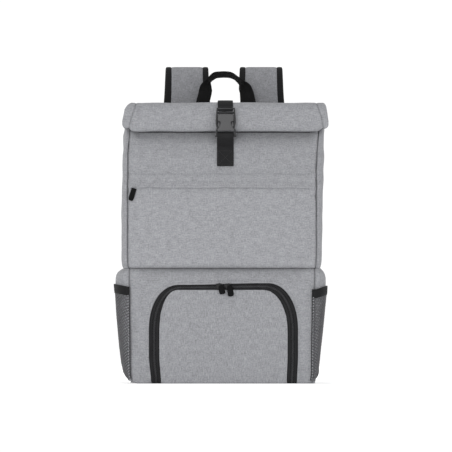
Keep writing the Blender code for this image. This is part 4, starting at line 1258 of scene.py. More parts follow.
@dataclass
class LowerCompartment(Compartment):
    """The boxy lower compartment: its front round the arch, the door, sides and base."""

    volume: Volume = LOWER
    seam_depth: float = 0.0024
    seam_width: float = 0.0022
    lip_share: float = 0.05
    arch: Arch = field(default_factory=Arch)
    stitch_rise: float = 0.0046
    front_folds: tuple[Fold, ...] = (
        Fold((-0.130, 0.158), (0.130, 0.160), 0.006, -0.0008),
        Fold((-0.090, 0.163), (-0.040, 0.151), 0.008, 0.0010),
        Fold((-0.125, 0.120), (-0.118, 0.040), 0.008, 0.0008),
        Fold((0.124, 0.128), (0.120, 0.030), 0.008, 0.0008),
    )
    door_folds: tuple[Fold, ...] = (
        Fold((-0.088, 0.060), (-0.078, 0.015), 0.010, -0.0010),
        Fold((-0.030, 0.110), (0.050, 0.100), 0.020, 0.0012),
        Fold((0.060, 0.080), (0.080, 0.020), 0.012, 0.0009),
        Fold((-0.070, 0.030), (0.060, 0.018), 0.012, 0.0008),
    )

    def build(self) -> None:
        """Make and dress every panel."""
        self.front()
        self.door()
        for side in Side:
            self.gusset(side)
        self.base()
        self.topstitching()

    def from_seams(self, x: Array, z: Array) -> tuple[Array, Array]:
        """How far each place is from its side seam and from the upper seam."""
        return self.volume.seam_at(self.volume.share_of(z)) - np.abs(x), self.volume.height - z

    def edge_in(self, x: Array, z: Array) -> Array:
        """How far the cloth is drawn in at the side seams and the upper seam."""
        beside, above = self.from_seams(x, z)
        return pinch(beside, self.seam_depth, self.seam_width) + pinch(above, 0.0016, 0.0040)

    def painted_shade(self, x: Array, z: Array) -> Array:
        """How much painted shade each place gets, from 0 to 1: shadow in the seams, a broad shadow below the
        upper compartment, and shadow by the floor.
        """
        beside, above = (np.maximum(part, 0) for part in self.from_seams(x, z))
        # Painted shadows: along the side and upper seams, a broad band under the upper compartment's overhang
        # across the middle, and by the floor.
        return np.clip(0.34 * SEAM_SHADOW.out(beside) + Ridge(0.0, 0.0009, 0.12).out(above)
                       + Ridge(0.006, 0.009, 0.15).out(above) * (np.abs(x) < 0.12)
                       + 0.5 * FLOOR_SHADOW.out(np.maximum(z, 0)), 0, 1)

    def front(self) -> None:
        """The front panel round the arch, from the zip to the seams."""
        side_steps, top_steps = 70, 130
        rise = np.linspace(0.0, 1.0, side_steps + 1)
        seam = self.volume.seam_at(rise)
        z_up = self.volume.height_at(rise)
        top_x = np.linspace(-1.0, 1.0, top_steps + 1)[1:-1] * seam[-1]
        border_x = np.r_[-seam, top_x, seam[::-1]]
        border_z = np.r_[z_up, np.full(top_x.shape, z_up[-1]), z_up[::-1]]
        outline = self.arch.outline(0.0, -0.0002, 900)
        polar = np.arctan2(outline[:, 1], outline[:, 0] - self.arch.centre)
        reach = np.hypot(outline[:, 1], outline[:, 0] - self.arch.centre)
        border_polar = np.arctan2(border_z, border_x - self.arch.centre)
        inner = np.interp(border_polar, polar[::-1], reach[::-1])
        inner_x = self.arch.centre + inner * np.cos(border_polar)
        inner_z = inner * np.sin(border_polar)
        count = len(border_x) - 1
        hem, stitched = Ridge(0.0014, 0.0020, 0.0010), Ridge(self.stitch_rise, 0.0010, -0.0006)

        def spread(u: Array, v: Array) -> tuple[Array, Array, Array]:
            column = np.round(u * count).astype(int)
            share = dense_ends(v)
            wide, tall = (border_x - inner_x)[column], (border_z - inner_z)[column]
            return inner_x[column] + wide * share, inner_z[column] + tall * share, share * np.hypot(wide, tall)

        def place(u: Array, v: Array) -> Array:
            x, z, from_arch = spread(u, v)
            turned = hem.out(from_arch) + stitched.out(from_arch)
            out = folds_out(self.front_folds, x, z) + turned - self.edge_in(x, z)
            return lifted(self.volume.on_front(x, z, out))

        # Painted shade: the seams' shadows, and a painted shadow along the cloth's edge at the zip.
        def shade(u: Array, v: Array) -> Array:
            x, z, from_arch = spread(u, v)
            return np.clip(self.painted_shade(x, z) + Ridge(0.0, 0.0007, 0.5).out(from_arch), 0, 1)

        dress(cloth("lower_front", place, count, 30, CLOTH, AHEAD, shade, level=True),
              GREY_CLOTH, "lower_front_panel")

    def door(self) -> None:
        """The arched door panel inside the zip."""
        arch = self.arch
        inset = 0.0003
        half = arch.half - arch.side_width - inset
        top = arch.height - arch.top_width - inset
        wide = arch.corner_width - arch.side_width * 0.5
        high = arch.corner_height - arch.top_width * 0.5
        flat = 0.45

        def spread(u: Array, v: Array) -> tuple[Array, Array]:
            angle = math.pi / 2 * np.clip((v - flat) / (1 - flat), 0.0, 1.0)
            corner = top - high + high * power(np.sin(angle), arch.squareness)
            z = np.where(v < flat, (top - high) * v / flat, corner)
            reach = half - wide + wide * power(np.cos(angle), arch.squareness)
            fuller = half - wide * 0.80 + wide * 0.80 * power(np.cos(angle), arch.squareness + 0.3)
            across = 2 * dense_ends(u, 0.15) - 1
            x = across * np.where(across < 0, fuller, reach)
            return arch.centre + x + arch.inward(x, z), z

        def place(u: Array, v: Array) -> Array:
            x, z = spread(u, v)
            reach = np.minimum(half - np.abs(x - arch.centre), top - z)
            hem = Ridge(0.0014, 0.0020, 0.0009).out(reach)
            swell = 0.0016 * np.clip(reach / 0.03, 0, 1) * np.clip(z / 0.03, 0, 1)
            return self.volume.on_front(x, z, folds_out(self.door_folds, x, z) + hem + swell)

        item = cloth("door_cloth", place, 120, 110, CLOTH, AHEAD,
                     lambda u, v: 0.5 * FLOOR_SHADOW.out(np.maximum(spread(u, v)[1], 0)), level=True)
        dress(item, DOOR_CLOTH, "compartment_door")

    def gusset(self, side: Side) -> None:
        """A side wall, drawn in at its seams and at the top."""
        def place(u: Array, v: Array) -> Array:
            room = self.volume.room_to(side, self.volume.height_at(v), v)
            return lifted(self.side_points(side, u, v, room))

        # Painted shadow beside the front seam, and along the top edge under the upper compartment.
        def shade(u: Array, v: Array) -> Array:
            seam = np.clip(1.0 - self.side_grid(u)[1] * 2.5, 0.0, 1.0) * (u < 0.5) * 0.5
            return np.clip(seam + 0.6 * (v > 0.99), 0.0, 1.0)

        item = cloth(f"lower_side_{side.word}", place, 90, 80, CLOTH, (side.value, 0, 0), shade)
        stand(item)
        dress(item, GREY_CLOTH, f"lower_gusset_{side.word}")

    def base(self) -> None:
        """The base cloth."""
        (x0, y0, _), (x1, y1, z1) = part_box("base_panel")
        squareness = 9.0

        def place(u: Array, v: Array) -> Array:
            radius = np.sqrt(v)
            angle = 2 * math.pi * u
            x = ((x1 - x0) / 2 + 0.0030) * power(np.cos(angle), squareness) * radius
            y = (y0 + y1) / 2 + (y1 - y0) / 2 * power(np.sin(angle), squareness) * radius
            return lifted(points_of(x, y, z1 - 0.0002))

        dress(cloth("base_cloth", place, 96, 24, CLOTH * 0.8, (0, 0, 1)), GREY_CLOTH, "base_panel")

    def topstitching(self) -> None:
        """The stitch row round the arch."""
        outline = self.arch.outline(0.0, -self.stitch_rise, 500)
        route = self.volume.on_front(outline[:, 0], np.maximum(outline[:, 1], 0.0015), -0.0002)
        stitches("arch_stitches", [(route, AHEAD)], GREY_THREAD, *SEWING)


@dataclass
class DoorZip:
    """The zip round the door: tapes, coil, two sliders and their pulls.

    A pull is given by its tilt in degrees, its width, its length and its place aside.
    """

    body: LowerCompartment
    pitch: float = 0.0017
    slider_spacing: float = 0.0138
    count: int = 700
    pulls: dict[Side, tuple[float, float, float, float]] = field(default_factory=lambda: {
        Side.LEFT: (14.0, 0.0088, 0.0121, 0.0030), Side.RIGHT: (9.0, 0.0092, 0.0152, 0.0022)})

    def build(self) -> None:
        """Make the zip and its sliders."""
        self.tape()
        self.coil()
        for side in Side:
            self.slider(side)

    def band(self, u: Array, across: Array, out: Array) -> Array:
        """Points of the zip, u along the arch and across from 0 outside to 1 inside."""
        spot = np.clip(u, 0, 1) * (self.count - 1)
        outer, inner = (read_rows(spot, np.arange(self.count), self.body.arch.outline(share, inset, self.count))
                        for share, inset in ((0.0, 0.0003), (1.0, -0.0003)))
        x, z = (outer + (inner - outer) * np.reshape(across, (-1, 1))).T
        return self.body.volume.on_front(x, z, out)

    def tape(self) -> None:
        """The two woven tapes, a step lower than the cloth beside them."""
        def place(u: Array, v: Array) -> Array:
            middle = np.abs(u - 0.5) * 2
            out = -0.0008 - 0.0004 * (middle < 0.16) + Ridge(0.55, 0.16, 0.0004).out(middle)
            return self.band(v, u, out)

        # Painted shade on the tapes beside the coil and along their outer edges against the cloth.
        def shade(u: Array, v: Array) -> Array:
            middle = np.abs(u - 0.5) * 2
            return np.clip(Ridge(0.30, 0.08, 0.9).out(middle) + 0.8 * (middle > 0.93), 0, 1)

        dress(cloth("zip_tape", place, 24, 420, CLOTH * 0.7, AHEAD, shade), ZIP_TAPE, "door_zip")

    def coil(self) -> None:
        """The closed coil: small bars in two meshing rows down the middle of the tapes."""
        line = self.band(np.linspace(0.002, 0.998, 1200), np.full(1200, 0.5), 0.0002)
        steps = steps_of(line)
        centre = read_rows(np.arange(0.0, steps[-1], self.pitch / 2), steps, line)
        ahead = directions(centre)
        aside = unit(np.cross(AHEAD, ahead))
        odd = (np.arange(len(centre)) % 2 * 2 - 1)[:, None]
        turns = np.stack([aside, ahead, unit(np.cross(aside, ahead))], axis=2)
        item = many("zip_coil", grain("coil_form", (0.0034, self.pitch * 0.62, 0.0015)),
                    centre + aside * odd * 0.0008, turns)
        dress(item, ZIP_COIL)

    def slider(self, side: Side) -> None:
        """One slider with its bridge, and its pull hanging aslant."""
        arch = self.body.arch
        height = arch.height - arch.top_width / 2 + 0.0016
        x = arch.centre + side.value * self.slider_spacing / 2
        face = float(self.body.volume.on_front(np.array([x]), np.array([height]))[0, 1])
        parts = [block(word, size, (x + right, face - ahead, height - down), bevel)
                 for word, size, (right, ahead, down), bevel in (
                     ("plate", (0.0086, 0.0030, 0.0088), (0.0, 0.0018, 0.0010), 0.0014),
                     ("nose", (0.0060, 0.0026, 0.0050), (-side.value * 0.0034, 0.0018, 0.0), 0.0012),
                     ("bridge", (0.0034, 0.0026, 0.0078), (0.0006, 0.0040, 0.0), 0.0011))]
        dress(join(f"door_slider_{side.word}_body", parts), ZIP_METAL, f"door_slider_{side.word}")
        tilt, wide, long, aside = self.pulls[side]
        rows = [(0.0020, wide * 0.45), (0.0004, wide * 0.72)]
        rows += [(-long * down, wide * share) for down, share in ((0.20, 0.92), (0.60, 1.0), (0.84, 0.99),
                                                                 (0.94, 0.80), (1.0, 0.34))]
        place = Vector((x + aside, face - 0.0062, height - 0.0008))
        pull = hanging_tab(f"door_pull_{side.word}_tab", rows, 0.0024, place, -tilt)
        dress(pull, RUBBER, f"door_pull_{side.word}")


def hanging_tab(name: str, rows: Sequence[tuple[float, float]], thick: float, place: Vector,
                tilt: float) -> bpy.types.Object:
    """A soft pull of rows of (height, width), turned by degrees about its upper end and put in place."""
    dense = resample(np.array(rows), 60)
    item = Strap(name, points_of(0.0, 0.0, dense[:, 0]), ASIDE, dense[:, 1], thick, RUBBER,
                 squareness=3.4, around=32).build()
    item.matrix_world = Matrix.Translation(place) @ Matrix.Rotation(math.radians(tilt), 4, "Y")
    settle(item)
    return item


def block(name: str, size: Triple, place: Triple, bevel: float) -> bpy.types.Object:
    """A rounded block: a cube primitive at its size and place with its edges bevelled."""
    deselect()
    bpy.ops.mesh.primitive_cube_add(size=1.0, location=place, scale=size)
    item = take_new(name)
    settle(item)
    apply_modifier(item, "BEVEL", width=bevel, segments=3, limit_method="NONE")
    return item


def join(name: str, items: Sequence[bpy.types.Object]) -> bpy.types.Object:
    """Join several meshes into one piece with smooth sides and sharp corners kept."""
    deselect()
    for item in items:
        item.select_set(True)
    bpy.context.view_layer.objects.active = items[0]
    bpy.ops.object.join()
    joined = items[0]
    joined.name = name
    joined.data.name = name
    bpy.ops.object.shade_smooth_by_angle(angle=math.radians(40))
    return joined


@dataclass(frozen=True)
class PocketFit:
    """How one pocket lies: its mouth's height in front, its rise to the side, its lap over the front seam."""

    side: Side
    top: float
    lift: float
    lap: float


@dataclass
class NetPockets:
    """The net side pockets with their elastic bands."""

    volume: Volume = LOWER
    bottom: float = 0.0045
    fits: tuple[PocketFit, ...] = (PocketFit(Side.LEFT, 0.1342, 0.0035, 0.0028),
                                   PocketFit(Side.RIGHT, 0.1302, 0.0047, 0.0066))
    front_reach: float = math.radians(-100)
    back_reach: float = math.radians(82)
    band_height: float = 0.0112
    skin: float = 0.0018
    spacing: float = 0.0044
    crossing: float = 0.0072
    cross_slope: float = 1.5
    steep: float = 0.46
    level: float = 0.09
    yarn: float = 0.0018
    thin_yarn: float = 0.0009
    rim_yarn: float = 0.0030
    dot_gap: float = 0.0022

    def build(self) -> None:
        """Make both pockets."""
        for fit in self.fits:
            self.net(fit)
            self.band(fit)
            self.hem(fit)

    def place(self, fit: PocketFit, angle: Array, rise: Array, skin: float) -> Array:
        """Points on the net, rise from 0 at the bottom to 1 at the band."""
        angle, rise = np.broadcast_arrays(np.asarray(angle, float), np.asarray(rise, float))
        held = np.maximum(angle, -math.pi / 2)
        lift = fit.lift * power(np.cos(held), self.volume.squareness)
        height = self.bottom + (fit.top + lift - self.bottom) * rise
        share = self.volume.share_of(height)
        room = self.volume.room_to(fit.side, height, share)
        points = self.volume.side_wall(fit.side, held, share, room, skin)
        over = np.clip((-math.pi / 2 - angle) / (-math.pi / 2 - self.front_reach), 0.0, 1.0)
        points[..., 0] -= fit.side.value * fit.lap * over
        return lifted(points)

    def outward(self, fit: PocketFit, angle: Array) -> Array:
        """The rough outward direction at each angle."""
        return points_of(fit.side.value * (np.abs(np.cos(angle)) + 0.1), np.sin(angle), 0.0)

    def net(self, fit: PocketFit) -> None:
        """Broad slanting yarns, steeper beside the front seam, crossed by thin ones."""
        angles = np.linspace(self.front_reach, self.back_reach, 600)
        arcs = steps_of(self.place(fit, angles, 0.6, self.skin))
        fall = np.r_[0.0, np.cumsum(np.diff(arcs) * (self.level + Ridge(0.0, 0.028, self.steep).out(arcs[1:])))]
        wide, tall = arcs[-1], fit.top - self.bottom
        parts = []

        def add_yarn(along: Array, height: Array, thick: float, inward: float) -> None:
            """Add the part of one yarn that lies within the net."""
            keep = (height >= 0.0) & (height <= tall)
            if keep.sum() >= 3:
                angle = np.interp(along[keep], arcs, angles)
                route = self.place(fit, angle, height[keep] / tall, self.skin - inward)
                parts.append((route, thick, self.outward(fit, angle)))

        along = np.linspace(0.0, wide, 110)
        for start in np.arange(0.0, tall + fall[-1], self.spacing):
            add_yarn(along, start - np.interp(along, arcs, fall), self.yarn, 0.0)
        along = np.linspace(0.0, wide, 200)
        for start in np.arange(-self.cross_slope * wide, tall, self.crossing):
            add_yarn(along, start + self.cross_slope * along, self.thin_yarn, 0.0004)
        rim = angles[::4]
        parts.append((self.place(fit, rim, 0.004, self.skin), self.rim_yarn, self.outward(fit, rim)))
        dress(tubes(f"net_{fit.side.word}", parts), NET_YARN, f"mesh_pocket_{fit.side.word}")

    def band(self, fit: PocketFit) -> None:
        """The elastic along the mouth, gathered in fine upright ribs."""
        def place(u: Array, v: Array) -> Array:
            angle = self.front_reach + (self.back_reach - self.front_reach) * u
            rise = 0.985 + (0.015 + self.band_height / (fit.top - self.bottom)) * v
            points = self.place(fit, angle, rise, self.skin + 0.0011)
            gather = 0.00025 * np.sin(u * 210) * np.sin(math.pi * np.clip(v, 0.02, 0.98)) ** 0.5
            points[:, 0] += fit.side.value * gather
            return points

        dress(cloth(f"net_band_{fit.side.word}", place, 200, 10, 0.0013, (fit.side.value, 0, 0)),
              ELASTIC, f"pocket_band_{fit.side.word}")

    def hem(self, fit: PocketFit) -> None:
        """The black seam line at the net's edges, and the light dots beside the front one."""
        rise = np.linspace(0.006, 0.998, 160)
        rows = []
        for angle, outward in ((self.front_reach * 0.995, AHEAD),
                               (self.back_reach * 0.99, (fit.side.value * 0.3, 1.0, 0.0))):
            rows.append((self.place(fit, angle, rise, self.skin + 0.0006), outward))
        stitches(f"net_seam_{fit.side.word}", rows, BLACK_THREAD, pitch=0.0030, length=0.0034, thick=0.0013)
        part = 1 - self.dot_gap / fit.lap
        angle = -math.pi / 2 + (self.front_reach + math.pi / 2) * part
        rows = [(self.place(fit, angle, rise, self.skin + 0.0014), AHEAD)]
        stitches(f"net_dots_{fit.side.word}", rows, NET_DOTS, pitch=0.0042, length=0.0019, thick=0.0015)


def tubes(name: str, parts: Sequence[tuple[Array, float, Array]]) -> bpy.types.Object:
    """Thin yarns joined as one mesh.

    Args:
        name: The piece's name.
        parts: Each yarn's route, its width, and the rough outward direction at each point.

    Returns:
        The joined object.
    """
    points, faces, first, around = [], [], 0, 4
    turn = 2 * math.pi * (np.arange(around) + 0.5) / around
    for route, thick, outward in parts:
        ahead = directions(route)
        aside = unit(np.cross(ahead, outward))
        normal = unit(np.cross(aside, ahead))
        ring = (aside[:, None, :] * np.cos(turn)[None, :, None]
                + normal[:, None, :] * np.sin(turn)[None, :, None] * 0.45) * thick * 0.7
        points.append((route[:, None, :] + ring).reshape(-1, 3))
        for row in range(len(route) - 1):
            base = first + row * around
            for corner in range(around):
                after = (corner + 1) % around
                faces.append((base + corner, base + after, base + around + after, base + around + corner))
        faces.append(tuple(first + corner for corner in range(around))[::-1])
        faces.append(tuple(first + (len(route) - 1) * around + corner for corner in range(around)))
        first += len(route) * around
    item = from_points(name, np.concatenate(points), faces)
    in_edit_mode(item, lambda: bpy.ops.mesh.normals_make_consistent(inside=False))
    return item


@dataclass
class RolledTop:
    """The neck of the pack, pressed flat and rolled forwards, with its end seams.

    The ends have rows of (share of the height, inset), the seams rows of (height, left, right).
    """

    height: float = 0.0450
    depth: float = 0.0340
    half: float = 0.1550
    wall: float = 0.0030
    pitch: float = 0.0052
    turns: float = 2.60
    start: float = 0.03
    sag: float = 0.0012
    end_rise: float = 0.0046
    ends: dict[Side, tuple[tuple[float, float], ...]] = field(default_factory=lambda: {
        Side.LEFT: ((0.00, 0.0085), (0.03, 0.0030), (0.08, 0.0010), (0.15, 0.0002), (0.30, 0.0), (0.50, 0.0014),
                    (0.78, 0.0037), (0.90, 0.0072), (0.96, 0.0102), (1.0, 0.0140)),
        Side.RIGHT: ((0.00, 0.0070), (0.03, 0.0026), (0.08, 0.0006), (0.15, 0.0), (0.30, 0.0), (0.64, 0.0016),
                     (0.88, 0.0035), (0.96, 0.0055), (1.0, 0.0082))})
    centre: float = 0.0440
    base: float = 0.3771
    squareness: float = 2.7
    seams: tuple[Triple, ...] = (
        (0.422, -0.1290, 0.1420), (0.400, -0.1355, 0.1492), (0.386, -0.1388, 0.1512), (0.374, -0.1400, 0.1520))

    def section(self, turns: Array) -> Array:
        """Points of the roll's section by turns from its middle bottom, back side first."""
        angle = 2 * math.pi * turns - math.pi / 2
        shrink = self.pitch * (ramp(turns, start=0.90, reach=0.13) + np.maximum(turns - 1.10, 0.0))
        droop = Ridge(0.91, 0.085, self.sag).out(turns)
        y = -self.centre + (self.depth / 2 - shrink) * power(np.cos(angle), self.squareness)
        z = self.base + self.height / 2 + (self.height / 2 - shrink) * power(np.sin(angle), self.squareness)
        return points_of(0.0, y, z - droop)

    def seam_gap(self, x: Array, z: Array) -> Array:
        """The distance from the nearer end seam, on the roll's outer face."""
        left, right = (read_column(z, self.seams[::-1], column) for column in (1, 2))
        return np.minimum(np.abs(x - left), np.abs(x - right))

    def build(self) -> None:
        """The rolled cloth, with dents, drawn-in end seams and rounded ends."""
        def spread(u: Array, v: Array) -> tuple[Array, Array]:
            turns = self.start + (self.turns - self.start) * v
            points = self.section(turns)
            height = (points[:, 2] - self.base) / self.height
            across = 2 * dense_ends(u, 0.16) - 1
            inset = np.where(across < 0, *(read_column(height, self.ends[side]) for side in Side))
            points[:, 0] = TOP_SHIFT + (self.half - inset) * across
            return points, turns

        def place(u: Array, v: Array) -> Array:
            points, turns = spread(u, v)
            x = points[:, 0]
            middle = points_of(x, -self.centre, self.base + self.height / 2)
            out = unit(points - middle)
            outer = np.clip((1.05 - turns) / 0.1, 0.0, 1.0)
            gap = self.seam_gap(x, points[:, 2])
            groove = Ridge(0.0, 0.0011, -0.0011).out(gap) * outer
            dents = waver(x + turns * 0.11, size=0.0005, wave=0.118, phase=0.3)
            dents = dents * np.sin(2 * math.pi * turns + x * 9) + 0.0002 * np.sin(x * 90 + turns * 7)
            dents = dents * outer * np.clip((self.half - np.abs(x)) / 0.03, 0, 1)
            points += out * (groove + dents - 0.0004)[:, None]
            ends = np.clip((np.abs(x - TOP_SHIFT) - self.half + 0.006) / 0.006, 0.0, 1.0)
            points += out * (-0.0016 * ends ** 2)[:, None]
            points[:, 2] += waver(x, size=0.0004, wave=0.21, phase=1.0) * outer
            points[:, 1] += waver(x, size=0.0030, wave=0.140, phase=0.5) * ramp(turns, start=1.9, reach=0.5)
            share = np.clip((points[:, 2] - self.base) / self.height, 0.0, 1.0)
            beyond = ramp(np.abs(x - TOP_SHIFT), start=0.138, reach=0.008)
            points[:, 2] += self.end_rise * beyond * np.clip(1 - share / 0.6, 0.0, 1.0)
            return points

        def shade(u: Array, v: Array) -> Array:
            points, turns = spread(u, v)
            gap = self.seam_gap(points[:, 0], points[:, 2])
            return 0.55 * SEAM_SHADOW.out(gap) * (turns < 1.0)

        dress(cloth("rolled_neck", place, 150, 250, self.wall, None, shade, flip=True),
              GREY_CLOTH, "roll_top")


@dataclass
class Strap:
    """A flat strap along a route, with rounded edges; its width may change along it."""

    name: str
    route: Array
    across: Array | Triple
    width: Array | float
    thick: float
    finish: Finish
    nodes: tuple[str, ...] = ()
    squareness: float = 5.0
    around: int = 28

    def build(self) -> bpy.types.Object:
        """Make the strap as one closed form."""
        count = len(self.route)
        across = unit(np.broadcast_to(np.array(self.across, float), self.route.shape))
        normal = unit(np.cross(directions(self.route), across))
        width = np.broadcast_to(np.asarray(self.width, float), (count,))

        def place(u: Array, v: Array) -> Array:
            row = np.round(v * (count + 1)).astype(int) - 1
            end = (row < 0) | (row >= count)
            row = np.clip(row, 0, count - 1)
            angle = 2 * math.pi * u
            wide = power(np.cos(angle), self.squareness) * width[row] / 2 * ~end
            high = power(np.sin(angle), 2.6) * self.thick / 2 * ~end
            return self.route[row] + across[row] * wide[:, None] + normal[row] * high[:, None]

        item = cloth(self.name, place, self.around, count + 1, closed=True)
        return dress(item, self.finish, *self.nodes)


@dataclass
class Closure:
    """The strap over the roll, its side-release buckle and the strap sewn to the front."""

    roll: RolledTop
    webbing: float = 0.0016
    top_width: float = 0.0230
    anchor_width: float = 0.0250
    anchor_length: float = 0.0455
    buckle_top: float = 0.4139
    buckle_back: float = 0.0646
    bar: float = 0.0026
    slot: float = 0.0034
    plate: float = 0.0034
    socket_height: float = 0.0232
    loop_slot: float = 0.0046
    loop_bar: float = 0.0050
    fit: float = 0.0004

    def build(self) -> None:
        """Make both straps, the box stitching and the buckle."""
        self.top_strap()
        self.anchor_strap()
        Buckle().build()

    def loop_top(self) -> float:
        """The height of the strap loop's upper edge."""
        return self.buckle_top - self.bar * 2 - self.slot - 2 * self.fit - self.socket_height

    def top_strap(self) -> None:
        """The strap from the back, over the roll and round the buckle's bar."""
        lift = self.webbing / 2 + 2 * TOUCH
        rows = [(PAD_BACK - 2 * CLOTH, PAD_TOP + lift), (PAD_FRONT, PAD_TOP + lift + TOUCH)]
        for turn in (0.36, 0.42, 0.47, 0.52, 0.57, 0.62, 0.66):
            y, z = self.roll.section(np.array([turn]))[0, 1:]
            out = unit(np.array((y + self.roll.centre, z - self.roll.base - self.roll.height / 2)))
            rows.append(tuple(np.array((y, z)) + out * (lift + TOUCH * 3)))
        slot_height = self.buckle_top - self.bar - self.slot / 2
        behind = -self.buckle_back + self.webbing / 2 + TOUCH
        rows += [(behind, self.buckle_top), (behind, slot_height),
                 (-self.buckle_back - self.plate * 1.1, slot_height)]
        self.lay("top", rows, 150, self.top_width)

    def lay(self, word: str, rows: Sequence[tuple[float, float]], count: int, width: float) -> None:
        """Lay a strap of webbing through its places, given as (y, z)."""
        route = resample(np.array([(TOP_SHIFT, y, z) for y, z in rows]), count)
        Strap(f"{word}_webbing", route, ASIDE, width, self.webbing, BLACK_WEBBING, (f"{word}_strap",)).build()

    def anchor_strap(self) -> None:
        """The strap from the buckle's loop down on to the front, with a sewn box."""
        loop_top = self.loop_top()
        bar_low = loop_top - self.loop_slot - self.loop_bar
        bar_front = -self.buckle_back - self.plate
        clear = self.webbing / 2 + TOUCH * 2
        rows = [(-self.buckle_back + 0.0010, loop_top - self.loop_slot * 0.85),
                (-self.buckle_back - self.plate * 0.5, loop_top - self.loop_slot * 1.0),
                (bar_front - clear, loop_top - self.loop_slot * 1.45),
                (bar_front - clear, bar_low + self.loop_bar * 0.4),
                (bar_front - clear * 0.6, bar_low - 2 * clear)]
        volume, out = UPPER, clear + 0.0006
        for share in (0.25, 0.4, 0.6, 0.8, 1.0):
            height = bar_low - self.anchor_length * share
            across = np.array([TOP_SHIFT / volume.seam])
            rows.append((volume.front_wall(across, volume.share_of([height]), out)[0, 1], height))
        self.lay("anchor", rows, 110, self.anchor_width)
        low = bar_low - self.anchor_length
        x0, z0, z1 = 0.0100, low + 0.003, low + 0.023
        box = [(-x0, z0), (-x0, z1), (x0, z1), (x0, z0)]
        lines = []
        for corners in (box + box[:1], box[::2], box[1::2]):
            dense = np.concatenate([np.linspace(a, b, 30) for a, b in zip(corners, corners[1:])])
            points = volume.on_front(TOP_SHIFT + dense[:, 0], dense[:, 1], out + self.webbing / 2)
            lines.append((points, AHEAD))
        stitches("anchor_stitches", lines, BLACK_THREAD, pitch=0.0026, length=0.0020, thick=0.0006)


@dataclass
class Buckle:
    """The side-release buckle: the socket's face and frame, and the tongue with its prongs.

    The face has rows of (height, width), a rail has rows of (height, outer edge, inner edge).
    """

    centre: float = 0.0056
    face: tuple[tuple[float, float], ...] = (
        (0.3800, 0.0246), (0.3806, 0.0252), (0.3822, 0.0240), (0.3850, 0.0205), (0.3885, 0.0172),
        (0.3915, 0.0160), (0.3932, 0.0172), (0.3942, 0.0222), (0.3952, 0.0240), (0.3990, 0.0240),
        (0.4024, 0.0240), (0.4034, 0.0234))
    rail: tuple[Triple, ...] = (
        (0.4136, 0.0135, 0.0116), (0.4100, 0.0139, 0.0118), (0.4050, 0.0143, 0.0120), (0.3997, 0.0148, 0.0122),
        (0.3934, 0.0153, 0.0124), (0.3900, 0.0151, 0.0124), (0.3860, 0.0142, 0.0118), (0.3825, 0.0129, 0.0106))

    def build(self) -> None:
        """Make both halves."""
        self.socket()
        self.tongue()

    def slab(self, name: str, rows: Array, depth: float, thick: float, finish: Finish,
             nodes: tuple[str, ...] = ()) -> bpy.types.Object:
        """A rounded upright plate from rows of (height, middle, width)."""
        rows = resample(np.array(rows), 90)
        route = points_of(rows[:, 1], depth, rows[:, 0])
        return Strap(name, route, ASIDE, rows[:, 2], thick, finish, nodes, around=32).build()

    def blocks(self, forms: Sequence[tuple[Triple, Triple, float]]) -> list[bpy.types.Object]:
        """Rounded blocks by their size, their place beside the buckle's middle, and their bevel."""
        return [block("form", size, (self.centre + x, y, z), bevel) for size, (x, y, z), bevel in forms]

    def socket(self) -> None:
        """The face with its two notches, the shell behind it, the legs and the strap's bar."""
        rows = [(height, self.centre, width) for height, width in self.face]
        # The face plate takes the lighter grey that paints its reflection.
        face = self.slab("buckle_face", rows, -0.0690, 0.0034, BUCKLE_LIT_GREY, ("buckle_socket",))
        for vertex in face.data.vertices:
            bow = 1 - ((vertex.co.x - self.centre) / 0.012) ** 2
            vertex.co.z += 0.0009 * bow * float(ramp(vertex.co.z, start=0.397, reach=0.006))
        forms = [((0.0262, 0.0020, 0.0226), (0.0, -0.0656, 0.3918), 0.0008),
                 ((0.0286, 0.0026, 0.0044), (0.0, -0.0658, 0.3722), 0.0010)]
        for side in Side:
            forms += [((0.0024, 0.0040, 0.0112), (side.value * 0.0137, -0.0668, 0.3758), 0.0009),
                      ((0.0036, 0.0040, 0.0030), (side.value * 0.0142, -0.0668, 0.3712), 0.0010),
                      ((0.0040, 0.0044, 0.0030), (side.value * 0.0128, -0.0672, 0.3808), 0.0010)]
        parts = self.blocks(forms)
        dress(join("buckle_frame", parts), BUCKLE_BLACK)

    def tongue(self) -> None:
        """The strap's two bars, the side rails and the rounded prong tips in the notches."""
        parts = self.blocks([((0.0276, 0.0036, 0.0024), (0.0, -0.0664, 0.4124), 0.0009),
                             ((0.0262, 0.0026, 0.0030), (0.0, -0.0648, 0.4062), 0.0009)])
        dress(join("buckle_bars", parts), BUCKLE_BLACK, "buckle_tongue")
        for side in Side:
            rows = [(z, self.centre + side.value * (outer + inner) / 2, outer - inner)
                    for z, outer, inner in self.rail]
            self.slab(f"buckle_rail_{side.word}", rows, -0.0672, 0.0038, BUCKLE_BLACK)
            tip = grain(f"buckle_tip_{side.word}", (0.0034, 0.0034, 0.0082), segments=20, rings=12)
            tip.location = (self.centre + side.value * 0.0103, -0.0684, 0.3884)
            settle(tip)
            tip.data.shade_smooth()
            # The prong tips take the lighter grey that paints their reflection.
            dress(tip, BUCKLE_LIT_GREY)


